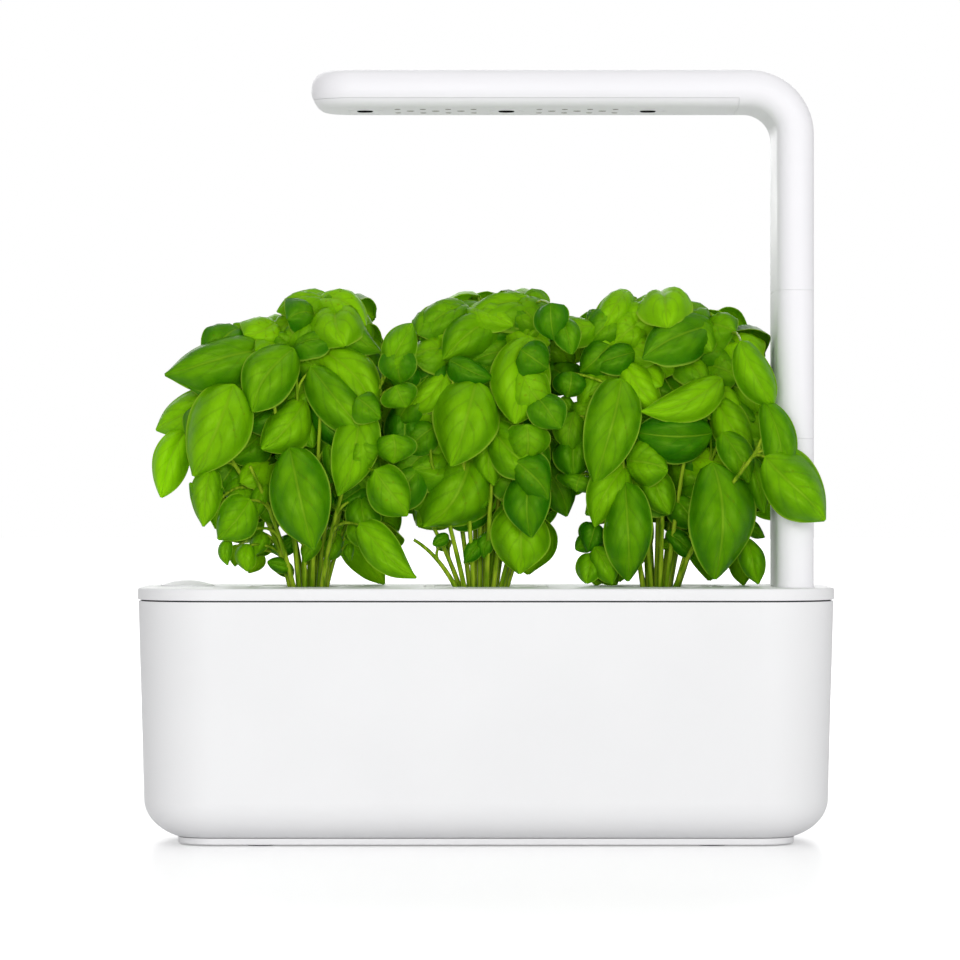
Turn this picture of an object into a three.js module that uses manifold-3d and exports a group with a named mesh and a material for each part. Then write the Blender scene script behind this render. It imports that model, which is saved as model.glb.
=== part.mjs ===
// Countertop hydroponic garden: a planter tub with a water tank, three basil pods and an L-shaped lamp.
// Units are millimetres. +Z is up, +X runs towards the mast and +Y towards the back.
// The origin is on the worktop, under the middle of the tub.
import * as THREE from "three";
import { mergeVertices } from "three/addons/utils/BufferGeometryUtils.js";
import Module from "manifold-3d";

const wasm = await Module();
wasm.setup();

// Pods and the outline of the lid
const podPitch = 76;
const podCount = 3;
const cupFlange = 53;
const endRoom = 47.5;
const lidDepth = 120;
const lidCorner = 34;
const mastEndInset = 16.7;
const floatEndInset = 20;
const halfLid = (podPitch * (podCount - 1) + cupFlange) / 2 + endRoom;
const halfDepth = lidDepth / 2;
const mastX = halfLid - mastEndInset;
const floatX = floatEndInset - halfLid;

// Heights of the tub, from the worktop up
const footProud = 0.5;
const plinthHeight = 3.1;
const shellHeight = 101.2;
const seamGap = 0.6;
const lidHeight = 5.2;
const shellBottom = footProud + plinthHeight;
const shellTop = shellBottom + shellHeight;
const lidBottom = shellTop + seamGap;
const lidTop = lidBottom + lidHeight;

// Clearances
const seat = 0.3;
const slide = 0.4;
const cut = 1;

// Tub walls
const shellStep = 0.3;
const shellTaper = 2.4;
const shellWall = 2.4;
const shellFloor = shellBottom + shellWall;
const rimWall = 1.2;
const rimDepth = 3.2;
const ribWall = 1.6;
const heelWide = 24;
const heelHigh = 17.5;
const plinthInset = 14.4;
const tankWall = 1.6;
const tankGap = 1.4;

// Lamp bar, its two extension arms and the bend
const barThick = 16;
const barDepth = 66;
const barEdge = 7.4;
const growingHeight = 207;
const armLength = 64;
const mastStand = 23.6;
const bendInside = 12;
const tipEndInset = 74.4;
const tipCorner = 18;
const armWall = 2.2;
const tongueLength = 14;
const tongueWall = 1.6;
const headBottom = lidTop + growingHeight;
const bendRadius = bendInside + barThick / 2;
const bendHeight = headBottom - bendInside;
const bendX = mastX - bendRadius;
const headMiddle = headBottom + barThick / 2;
const tipX = tipEndInset - halfLid;
const lowerSeam = lidTop + armLength;
const upperSeam = lowerSeam + armLength;
const armBottom = shellFloor + mastStand;

// Counts of facets
const planSteps = 5;
const barSteps = 3;
const hollowSteps = 1;
const cupSteps = 2;
const tubeSides = 6;
const roundSides = 16;
const smallSides = 8;
const holeSides = 5;

function finish(color, roughness, metalness = 0) {
  return new THREE.MeshStandardMaterial({ color, roughness, metalness });
}

const casing = finish(0xf1f1f2, 0.42);
const lampCasing = finish(0xf6f6f8, 0.25);
const liner = finish(0xdcdedf, 0.5);
const rubber = finish(0x8f9092, 0.85);
const steel = finish(0xb8babc, 0.35, 1);
const blackSteel = finish(0x141416, 0.45, 0.6);
const blackPlastic = finish(0x1b1b1d, 0.5);
const boardGreen = finish(0xe8e6dc, 0.55);
const aluminium = finish(0xc6c8ca, 0.4, 1);
const felt = finish(0xe9e6dc, 0.95);
const peat = finish(0x3a2a1e, 0.95);
const leafGreen = finish(0x4d9a10, 0.45);

// Turns a closed geometry into a solid, with shared corners merged and empty triangles left out.
function solidFrom(geometry) {
  const bare = new THREE.BufferGeometry().setAttribute("position", geometry.getAttribute("position"));
  if (geometry.index) bare.setIndex(geometry.index);
  const merged = mergeVertices(bare);
  const corners = merged.index.array;
  const kept = [];
  for (let i = 0; i < corners.length; i += 3) {
    const [a, b, c] = [corners[i], corners[i + 1], corners[i + 2]];
    if (a !== b && b !== c && c !== a) kept.push(a, b, c);
  }
  const triVerts = new Uint32Array(kept);
  const vertProperties = merged.getAttribute("position").array;
  return new wasm.Manifold(new wasm.Mesh({ numProp: 3, vertProperties, triVerts }));
}

// A surface through rings of equally many points, capped at both ends or joined end to end.
function loft(rings, joined = false) {
  const count = rings[0].length;
  const spans = joined ? rings.length : rings.length - 1;
  const index = [];
  for (let k = 0; k < spans; k++) {
    const low = k * count;
    const high = ((k + 1) % rings.length) * count;
    for (let i = 0; i < count; i++) {
      const next = (i + 1) % count;
      index.push(low + i, low + next, high + next, low + i, high + next, high + i);
    }
  }
  if (!joined) {
    const last = (rings.length - 1) * count;
    for (let i = 1; i < count - 1; i++) {
      index.push(0, i + 1, i, last, last + i, last + i + 1);
    }
  }
  const geometry = new THREE.BufferGeometry().setFromPoints(rings.flat());
  return geometry.setIndex(index);
}

// A rounded rectangle at height z, anticlockwise from above, with one corner radius at each end
function planRing(x0, x1, y0, y1, leftRadius, rightRadius, z, steps = planSteps) {
  const corners = [
    [x1 - rightRadius, y1 - rightRadius, rightRadius],
    [x0 + leftRadius, y1 - leftRadius, leftRadius],
    [x0 + leftRadius, y0 + leftRadius, leftRadius],
    [x1 - rightRadius, y0 + rightRadius, rightRadius],
  ];
  return corners.flatMap(([cx, cy, radius], quarter) =>
    Array.from({ length: steps + 1 }, (_, k) => {
      const turn = ((quarter + k / steps) * Math.PI) / 2;
      return new THREE.Vector3(cx + radius * Math.cos(turn), cy + radius * Math.sin(turn), z);
    }),
  );
}

const squareRing = (half, radius, z, steps) => planRing(-half, half, -half, half, radius, radius, z, steps);

// The outline of the lid, drawn in by an inset
function lidRing(inset, z) {
  const long = halfLid - inset;
  const deep = halfDepth - inset;
  const corner = lidCorner - inset;
  return planRing(-long, long, -deep, deep, corner, corner, z);
}

function block(x0, x1, y0, y1, z0, z1) {
  const box = new THREE.BoxGeometry(x1 - x0, y1 - y0, z1 - z0);
  return solidFrom(box.translate((x0 + x1) / 2, (y0 + y1) / 2, (z0 + z1) / 2));
}

// A revolved solid about a vertical axis, with its outline from the foot of the axis round to the top
function turned(outline, x = 0, y = 0, sides = roundSides) {
  const points = outline.map(([radius, z]) => new THREE.Vector2(radius, z));
  const lathe = new THREE.LatheGeometry(points, sides).rotateX(Math.PI / 2).translate(x, y, 0);
  return solidFrom(lathe);
}

function rod(radius, z0, z1, x, y, sides) {
  return turned([[0, z0], [radius, z0], [radius, z1], [0, z1]], x, y, sides);
}

const garden = new THREE.Group();

function piece(name, solid, material) {
  const made = solid.getMesh();
  const geometry = new THREE.BufferGeometry();
  const places = new THREE.BufferAttribute(new Float32Array(made.vertProperties), made.numProp);
  geometry.setAttribute("position", places);
  geometry.setIndex(new THREE.BufferAttribute(new Uint32Array(made.triVerts), 1));
  geometry.computeVertexNormals();
  const mesh = new THREE.Mesh(geometry, material);
  mesh.name = name;
  garden.add(mesh);
}

// Side profile of the tub: how far its outside stands in from the lid's edge at each height
const heelTurn = Math.acos(1 - plinthInset / heelWide);
const heelTop = shellBottom + heelHigh * Math.sin(heelTurn);
function shellInset(z) {
  const taper = shellStep + (shellTaper * (shellTop - Math.max(z, heelTop))) / (shellTop - heelTop);
  if (z >= heelTop) return taper;
  const sine = Math.min((heelTop - z) / heelHigh, Math.sin(heelTurn));
  return taper + heelWide * (1 - Math.sqrt(1 - sine * sine));
}
const heelShares = [0, 0.14, 0.34, 0.62];
const heelHeights = heelShares.map((share) => shellBottom + share * (heelTop - shellBottom));
const sideHeights = [...heelHeights, heelTop];

// Base: plinth plate, shell, four screws and four rubber feet
const bossX = halfLid - plinthInset - lidCorner + 4 * shellWall;
const bossY = halfDepth - plinthInset - 5 * shellWall;
const screwShank = 1.5;
const screwHead = 3;
const screwHeadHigh = 1.4;
const bossRadius = 4;
const bossHeight = 9;
const screwReach = 7;
const bossSpots = [-1, 1].flatMap((sx) => [-1, 1].map((sy) => [sx * bossX, sy * bossY]));
const footRadius = 6.5;
const footHigh = 1.5;
const footBesideScrew = 14.3;
const footX = bossX - footBesideScrew;
const footSpots = [-1, 1].flatMap((sx) => [-1, 1].map((sy) => [sx * footX, sy * bossY]));

// Power jack in the back of the shell, under the mast
const jackRadius = 4.2;
const jackFlange = 5.6;
const jackBore = 2.75;
const jackPin = 1;
const jackLong = 11;
const jackDepth = 8;
const jackHeight = 30;
const jackX = mastX - barThick;

function alongY(solid, x, y, z) {
  return solid.rotate([90, 0, 0]).translate([x, y, z]);
}

const jackFace = halfDepth - shellInset(jackHeight);

function makeShell() {
  const outside = sideHeights.map((z) => lidRing(shellInset(z), z));
  const inside = sideHeights.map((z) => lidRing(shellInset(z) + shellWall, Math.max(z, shellFloor)));
  const rings = [
    ...outside,
    lidRing(shellInset(shellTop), shellTop),
    lidRing(shellStep + rimWall, shellTop),
    lidRing(shellStep + rimWall, shellTop - rimDepth),
    lidRing(shellStep + shellWall, shellTop - rimDepth),
    ...inside.slice(1).reverse(),
  ];
  let shell = solidFrom(loft(rings));
  for (const [x, y] of bossSpots) {
    const boss = rod(bossRadius, shellBottom + shellWall / 2, shellFloor + bossHeight, x, y, smallSides);
    const bore = rod(screwShank + seat, shellBottom - cut, shellFloor + bossHeight + cut, x, y, smallSides);
    shell = shell.add(boss).subtract(bore);
  }
  const hole = rod(jackRadius + seat, -jackDepth, jackDepth, 0, 0, roundSides);
  return shell.subtract(alongY(hole, jackX, jackFace, jackHeight));
}

function makePlinth() {
  const inset = shellStep + shellTaper + plinthInset + seat;
  const top = shellBottom - seat;
  const edge = plinthHeight / 4;
  const rings = [lidRing(inset + edge, footProud), lidRing(inset, footProud + edge), lidRing(inset, top)];
  let plate = solidFrom(loft(rings));
  for (const [x, y] of bossSpots) {
    plate = plate.subtract(rod(screwShank + seat, -cut, top + cut, x, y, smallSides));
    plate = plate.subtract(rod(screwHead + seat, -cut, footProud + screwHeadHigh + seat, x, y, smallSides));
  }
  for (const [x, y] of footSpots) {
    plate = plate.subtract(rod(footRadius + seat, -cut, footHigh + seat, x, y, smallSides));
  }
  return plate;
}

function makeScrew(x, y, headBase, headSide, shankEnd) {
  const outline = [
    [0, headBase],
    [headSide, headBase],
    [headSide, headBase + screwHeadHigh],
    [screwShank, headBase + screwHeadHigh],
    [screwShank, shankEnd - screwShank],
    [0, shankEnd],
  ];
  return turned(outline, x, y, smallSides);
}

function makeFoot(x, y) {
  const edge = footHigh / 4;
  const outline = [
    [0, 0],
    [footRadius - edge, 0],
    [footRadius, edge],
    [footRadius, footHigh],
    [0, footHigh],
  ];
  return turned(outline, x, y, smallSides);
}

function makeJack() {
  const outline = [
    [0, -jackLong],
    [jackRadius, -jackLong],
    [jackRadius, 0],
    [jackFlange, 0],
    [jackFlange, shellWall / 2],
    [jackBore, shellWall / 2],
    [jackBore, jackBore - jackLong],
    [jackPin, jackBore - jackLong],
    [jackPin, -jackPin],
    [0, -jackPin],
  ];
  const standing = turned(outline, 0, 0, roundSides);
  return standing.rotate([-90, 0, 0]).translate([jackX, jackFace + seat, jackHeight]);
}

piece("planter_shell", makeShell(), casing);
piece("base_plate", makePlinth(), casing);
bossSpots.forEach(([x, y], k) => {
  piece(`base_screw_${k + 1}`, makeScrew(x, y, footProud, screwHead, shellFloor + screwReach), steel);
});
footSpots.forEach(([x, y], k) => piece(`rubber_foot_${k + 1}`, makeFoot(x, y), rubber));
piece("power_jack", makeJack(), blackPlastic);

// Outlines of the lamp bar: level rings round the mast, and the same section turned along the bend
function barRing(inset, z, steps = barSteps) {
  const halfThick = barThick / 2 - inset;
  const halfWide = barDepth / 2 - inset;
  const corner = barEdge - inset;
  return planRing(mastX - halfThick, mastX + halfThick, -halfWide, halfWide, corner, corner, z, steps);
}

function bentRing(inset, turn, steps) {
  const across = new THREE.Vector3(Math.cos(turn), 0, Math.sin(turn));
  const centre = new THREE.Vector3(bendX, 0, bendHeight).addScaledVector(across, bendRadius);
  return barRing(inset, 0, steps).map((point) => {
    const placed = centre.clone().addScaledVector(across, point.x - mastX);
    placed.y = point.y;
    return placed;
  });
}

// The bar from height z0 up the mast, round the bend and out to the tip, drawn in by an inset
function barSolid(inset, z0, steps = barSteps) {
  const turns = Array.from({ length: steps + 3 }, (_, k) => (k / (steps + 2)) * (Math.PI / 2));
  const bend = turns.map((turn) => bentRing(inset, turn, steps));
  const leg = solidFrom(loft([barRing(inset, z0, steps), ...bend]));
  const half = barThick / 2 - inset;
  const wide = barDepth / 2 - inset;
  const edge = barEdge - inset;
  const edgeTurns = Array.from({ length: steps + 1 }, (_, k) => (k / steps) * (Math.PI / 2));
  const quarter = edgeTurns.map((turn) => [edge * (1 - Math.sin(turn)), half - edge * (1 - Math.cos(turn))]);
  const levels = [...quarter.map(([draw, rise]) => [draw, -rise]).reverse(), ...quarter];
  const rings = levels.map(([draw, rise]) => {
    const left = tipX + inset + draw;
    const corner = tipCorner - inset - draw;
    return planRing(left, bendX, draw - wide, wide - draw, corner, 0, headMiddle + rise, steps + 1);
  });
  rings.sort((a, b) => a[0].z - b[0].z);
  return leg.add(solidFrom(loft(rings)));
}

// Water tank: a liner with a deck that rests on the shell's rim and shuts off the mast's compartment
const deckThick = 1.5;
const deckInset = shellStep + rimWall + seat;
const deckBottom = shellTop - rimDepth + seat;
const deckTop = deckBottom + deckThick;
const tankInset = shellStep + shellTaper + shellWall + tankGap;
const tankBottom = shellFloor + bossHeight + seat;
const tankCorner = 9;
const socketWall = 2.2;
const socketLeft = mastX - barThick / 2 - slide - socketWall;
const tankRight = socketLeft - barThick;
const tankEdge = 2 * tankWall;

function tankRing(inset, z) {
  const right = tankRight + tankInset - inset;
  const deep = halfDepth - inset;
  return planRing(inset - halfLid, right, -deep, deep, lidCorner - inset, tankCorner, z);
}

function makeTank() {
  const deck = solidFrom(loft([lidRing(deckInset, deckBottom), lidRing(deckInset, deckTop)]));
  const outside = [
    tankRing(tankInset + tankEdge, tankBottom),
    tankRing(tankInset, tankBottom + tankEdge),
    tankRing(tankInset, deckBottom + deckThick / 2),
  ];
  const room = [
    tankRing(tankInset + tankWall + tankEdge, tankBottom + tankWall),
    tankRing(tankInset + tankWall, tankBottom + tankWall + tankEdge),
    tankRing(tankInset + tankWall, deckTop + cut),
  ];
  const passage = -(slide + socketWall + seat);
  const socketHole = solidFrom(loft([barRing(passage, deckBottom - cut), barRing(passage, deckTop + cut)]));
  return deck.add(solidFrom(loft(outside))).subtract(solidFrom(loft(room))).subtract(socketHole);
}

piece("water_tank", makeTank(), liner);

// Socket for the mast, standing on the floor of the shell, with its spring pins and the lead from the jack
const footHalf = barDepth / 4;
const pinHalf = barThick / 4;
const pinBlockHigh = 5;
const pinY = barDepth / 2 - barEdge;
const leadRadius = 1.5;
const socketFloorTop = armBottom - seat - pinBlockHigh / 2;
const socketFloor = socketFloorTop - socketWall;
const pinBlockTop = armBottom - seat;

function makeSocket() {
  const outer = -(slide + socketWall);
  const bore = solidFrom(loft([barRing(-slide, socketFloorTop), barRing(-slide, deckTop + cut)]));
  const socket = solidFrom(loft([barRing(outer, socketFloor), barRing(outer, deckTop)])).subtract(bore);
  const foot = block(socketLeft, mastX, -footHalf, footHalf, shellFloor + seat, socketFloor + socketWall / 2);
  const hole = block(
    mastX - pinHalf - seat,
    mastX + pinHalf + seat,
    pinY - pinHalf - seat,
    pinY + pinHalf + seat,
    socketFloor - cut,
    socketFloorTop + cut,
  );
  return socket.add(foot).subtract(hole);
}

function makePinBlock() {
  const bodyTop = pinBlockTop - seat;
  const body = block(mastX - pinHalf, mastX + pinHalf, pinY - pinHalf, pinY + pinHalf, socketFloor, bodyTop);
  const pins = [-1, 1].map((side) => {
    const y = pinY + (side * pinHalf) / 2;
    return rod(pinHalf / 4, pinBlockTop - pinHalf, pinBlockTop, mastX, y, holeSides);
  });
  return wasm.Manifold.union([body, ...pins]);
}

function tube(points, radius, steps) {
  const path = new THREE.CatmullRomCurve3(points, false, "centripetal");
  const round = Array.from({ length: tubeSides }, (_, k) => {
    const turn = (k / tubeSides) * 2 * Math.PI;
    return new THREE.Vector2(radius * Math.cos(turn), radius * Math.sin(turn));
  });
  const settings = { steps, extrudePath: path, bevelEnabled: false };
  return solidFrom(new THREE.ExtrudeGeometry(new THREE.Shape(round), settings));
}

function makeSupplyLead() {
  const start = new THREE.Vector3(jackX, jackFace - jackLong, jackHeight);
  const end = new THREE.Vector3(mastX, pinY, socketFloor - seat);
  const drop = 4 * leadRadius;
  const points = [
    start,
    start.clone().add(new THREE.Vector3(0, -drop / 2, 0)),
    new THREE.Vector3((start.x + end.x) / 2, (start.y + end.y) / 2 + drop / 2, end.z - drop),
    end.clone().add(new THREE.Vector3(0, 0, -drop)),
    end,
  ];
  return tube(points, leadRadius, 2 * tubeSides);
}

piece("mast_socket", makeSocket(), liner);
piece("socket_pins", makePinBlock(), blackPlastic);
piece("supply_lead", makeSupplyLead(), blackPlastic);

// Lid: a shallow moulded cover with a collar round each opening
const lidWall = 2.2;
const lidEdge = 1;
const skirtBottom = deckTop + seat;
const flangeThick = 2;
const cupCorner = 8;
const cupLedge = 2.2;
const recessRadius = 14.6;
const recessDepth = 2.6;
const capRadius = 11.6;
const stemRadius = 2.1;
const fillHole = 2.2;
const fillRing = 10.2;
const fillCount = 4;
const podX = Array.from({ length: podCount }, (_, k) => (k - (podCount - 1) / 2) * podPitch);

function makeLid() {
  const skirt = deckInset;
  const edgeTurn = Math.PI / 4;
  const outside = [
    lidRing(skirt, skirtBottom),
    lidRing(skirt, lidBottom),
    lidRing(lidEdge / 4, lidBottom),
    lidRing(0, lidBottom + lidEdge / 2),
    lidRing(0, lidTop - lidEdge),
    lidRing(lidEdge * (1 - Math.cos(edgeTurn)), lidTop - lidEdge * (1 - Math.sin(edgeTurn))),
    lidRing(lidEdge, lidTop),
  ];
  const room = [lidRing(skirt + ribWall, skirtBottom - cut), lidRing(skirt + ribWall, lidTop - lidWall)];
  let lid = solidFrom(loft(outside)).subtract(solidFrom(loft(room)));
  const under = lidTop - lidWall / 2;
  const ledgeTop = lidTop - flangeThick - seat;
  const holeHalf = cupFlange / 2 + seat;
  const holeCorner = cupCorner + seat;
  for (const x of podX) {
    const prism = (grow, z0, z1) => {
      const ring = (z) => squareRing(holeHalf + grow, holeCorner + grow, z, cupSteps);
      return solidFrom(loft([ring(z0), ring(z1)])).translate([x, 0, 0]);
    };
    const collar = prism(ribWall, ledgeTop - ribWall, under);
    const recess = prism(0, ledgeTop, lidTop + cut);
    const hole = prism(-cupLedge, ledgeTop - ribWall - cut, ledgeTop + cut);
    lid = lid.add(collar).subtract(recess).subtract(hole);
  }
  const panBottom = lidTop - recessDepth - lidWall;
  lid = lid.add(rod(recessRadius + ribWall, panBottom, under, floatX, 0));
  lid = lid.subtract(
    turned([
      [0, lidTop - recessDepth],
      [recessRadius - recessDepth / 2, lidTop - recessDepth],
      [recessRadius, lidTop - recessDepth / 2],
      [recessRadius, lidTop + cut],
      [0, lidTop + cut],
    ], floatX),
  );
  lid = lid.subtract(rod(stemRadius + slide, panBottom - cut, lidTop, floatX, 0, smallSides));
  for (let k = 0; k < fillCount; k++) {
    const turn = ((k + 1 / 2) / fillCount) * 2 * Math.PI;
    const [holeX, holeY] = [floatX + fillRing * Math.cos(turn), fillRing * Math.sin(turn)];
    lid = lid.subtract(rod(fillHole, panBottom - cut, lidTop, holeX, holeY, holeSides));
  }
  const collar = solidFrom(loft([barRing(-slide - ribWall, lidBottom), barRing(-slide - ribWall, under)]));
  const slot = solidFrom(loft([barRing(-slide, lidBottom - cut), barRing(-slide, lidTop + cut)]));
  return lid.add(collar).subtract(slot);
}

// Float gauge: a cap over the filling recess, a stem through the lid and a bulb in a slotted guide
const floatTravel = 30;
const capDome = 2.7;
const capRim = 0.5;
const capDomeShares = [0.85, 0.65, 0.4];
const capWall = 1.4;
const bulbRadius = 6.6;
const bulbHigh = 20;
const guideWall = 1.3;
const guideInside = bulbRadius + slide;
const guideOutside = guideInside + guideWall;
const guideTop = lidTop - recessDepth - lidWall - seat;
const bulbTop = guideTop - lidWall - floatTravel - seat;
const guideBottom = bulbTop - bulbHigh - guideWall;
const capBottom = lidTop - recessDepth + seat;
const capRimTop = lidTop + capRim;
const windowHalf = guideInside / 2;

function makeGuide() {
  let guide = rod(guideOutside, guideBottom, guideTop, floatX, 0, roundSides);
  guide = guide.subtract(rod(guideInside, guideBottom - cut, guideTop - lidWall, floatX, 0, roundSides));
  const stemHole = rod(stemRadius + slide, guideTop - lidWall - cut, guideTop + cut, floatX, 0, smallSides);
  guide = guide.subtract(stemHole);
  const [left, right] = [floatX - 2 * guideOutside, floatX + 2 * guideOutside];
  const low = guideBottom + 3 * guideWall;
  const high = guideTop - lidWall - 3 * guideWall;
  return guide.subtract(block(left, right, -windowHalf, windowHalf, low, high));
}

function makeCap() {
  const dome = capDomeShares.map((share) => {
    return [capRadius * share, capRimTop + (capDome - capRim) * (1 - share * share)];
  });
  const outline = [
    [stemRadius + seat, capBottom],
    [capRadius - capWall / 2, capBottom],
    [capRadius, capBottom + capWall / 2],
    [capRadius, capRimTop],
    ...dome,
    [0, lidTop + capDome],
    [0, capRimTop],
    [stemRadius + seat, capRimTop],
    [stemRadius + seat, capBottom],
  ];
  return turned(outline, floatX);
}

function makeFloatStem() {
  return rod(stemRadius, bulbTop - bulbHigh + 2 * stemRadius, capRimTop - seat, floatX, 0, smallSides);
}

function makeBulb() {
  const end = bulbRadius / 3;
  const base = bulbTop - bulbHigh;
  const bore = stemRadius + seat;
  const outline = [
    [0, base],
    [bulbRadius - end, base],
    [bulbRadius, base + end],
    [bulbRadius, bulbTop - end],
    [bulbRadius - end, bulbTop],
    [bore, bulbTop],
    [bore, base + 2 * stemRadius - seat],
    [0, base + 2 * stemRadius - seat],
  ];
  return turned(outline, floatX);
}

piece("lid", makeLid(), casing);
piece("float_guide", makeGuide(), liner);
piece("float_cap", makeCap(), casing);
piece("float_stem", makeFloatStem(), casing);
piece("float_bulb", makeBulb(), felt);

// Pods: a tapered basket with slots, a wick, a peat plug and the basil that grows from it
const cupDepth = 62;
const cupWall = 1.4;
const cupNeck = 23.4;
const cupFoot = 17.5;
const cupNeckCorner = 6;
const plugSunk = 3;
const wickRadius = 3;
const wickReach = 20;
const wickClear = 5;
const rootRadius = 10;
const rootDepth = 12;
const cupBottom = lidTop - cupDepth;
const cupFloor = cupBottom + cupWall;
const plugTop = lidTop - plugSunk;
const neckTop = lidTop - flangeThick;

// Half the basket's width at height z
const cupHalf = (z) => cupFoot + ((cupNeck - cupFoot) * (z - cupBottom)) / (neckTop - cupBottom);

function makeCup(x) {
  const rings = [
    squareRing(cupHalf(cupBottom), cupNeckCorner, cupBottom, cupSteps),
    squareRing(cupNeck, cupNeckCorner, neckTop, cupSteps),
    squareRing(cupFlange / 2, cupCorner, neckTop, cupSteps),
    squareRing(cupFlange / 2, cupCorner, lidTop - flangeThick / 4, cupSteps),
    squareRing(cupFlange / 2 - flangeThick / 4, cupCorner, lidTop, cupSteps),
    squareRing(cupNeck - cupWall, cupNeckCorner - cupWall, lidTop, cupSteps),
    squareRing(cupHalf(cupFloor) - cupWall, cupNeckCorner - cupWall, cupFloor, cupSteps),
  ];
  let cup = solidFrom(loft(rings));
  const low = cupFloor + 2 * cupWall;
  const high = (cupBottom + neckTop) / 2;
  const half = cupFoot / 3;
  cup = cup.subtract(block(-cupFlange, cupFlange, -half, half, low, high));
  cup = cup.subtract(block(-half, half, -cupFlange, cupFlange, low, high));
  cup = cup.subtract(rod(wickRadius + seat, cupBottom - cut, cupFloor + cut, 0, 0, smallSides));
  return cup.translate([x, 0, 0]);
}

function makePlug(x) {
  const base = cupFloor + seat;
  const inside = (z) => cupHalf(z) - cupWall - seat;
  const corner = cupNeckCorner - cupWall;
  const plug = solidFrom(loft([
    squareRing(inside(base), corner, base, cupSteps),
    squareRing(inside(plugTop), corner, plugTop, cupSteps),
  ]));
  const socket = turned([
    [0, plugTop - rootDepth - seat],
    [rootRadius / 2 + seat, plugTop - rootDepth - seat],
    [rootRadius + seat, plugTop - rootDepth / 2],
    [rootRadius + seat, plugTop + cut],
    [0, plugTop + cut],
  ], 0, 0, smallSides);
  const wickHole = rod(wickRadius + seat, base - cut, base + wickReach + seat, 0, 0, smallSides);
  return plug.subtract(socket).subtract(wickHole).translate([x, 0, 0]);
}

function makeWick(x) {
  return rod(wickRadius, tankBottom + tankWall + wickClear, cupFloor + seat + wickReach, x, 0, smallSides);
}

// Basil. Places across are shares of leafReach from the pod's middle, heights are shares of canopyHigh
// above the lid, and depths are shares of bushDepth, with the front negative.
const leafReach = 43.6;
const canopyHigh = 130.5;
const bushDepth = 52;
const leafThick = 1.1;
const leafArchShare = 0.09;
const petioleRadius = 0.75;
const stalkRadius = 1.3;
const stalkSides = 4;
const stalkSteps = 4;

// Each stalk: its top across, up and in depth, then how far its elbow stands out and up
const stalkShares = [
  [
    [-1.12, 0.56, -0.25, -0.34, 0.3],
    [-0.5, 0.84, 0.05, -0.2, 0.45],
    [0.14, 0.92, 0, 0.04, 0.5],
    [0.58, 0.6, -0.25, 0.24, 0.3],
    [0.3, 0.78, 0.3, 0.1, 0.4],
  ],
  [
    [-0.55, 0.8, 0, -0.3, 0.35],
    [-0.05, 0.88, 0.05, -0.06, 0.45],
    [0.45, 0.94, 0, 0.16, 0.45],
    [0.1, 0.6, -0.35, 0.06, 0.3],
    [-0.15, 0.7, 0.35, -0.12, 0.35],
  ],
  [
    [-0.35, 0.86, 0.1, -0.16, 0.4],
    [0.08, 0.95, 0, 0.02, 0.45],
    [0.68, 0.84, 0, 0.26, 0.35],
    [0.95, 0.46, -0.72, 0.4, 0.22],
    [0.3, 0.6, -0.3, 0.14, 0.3],
  ],
];

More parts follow.
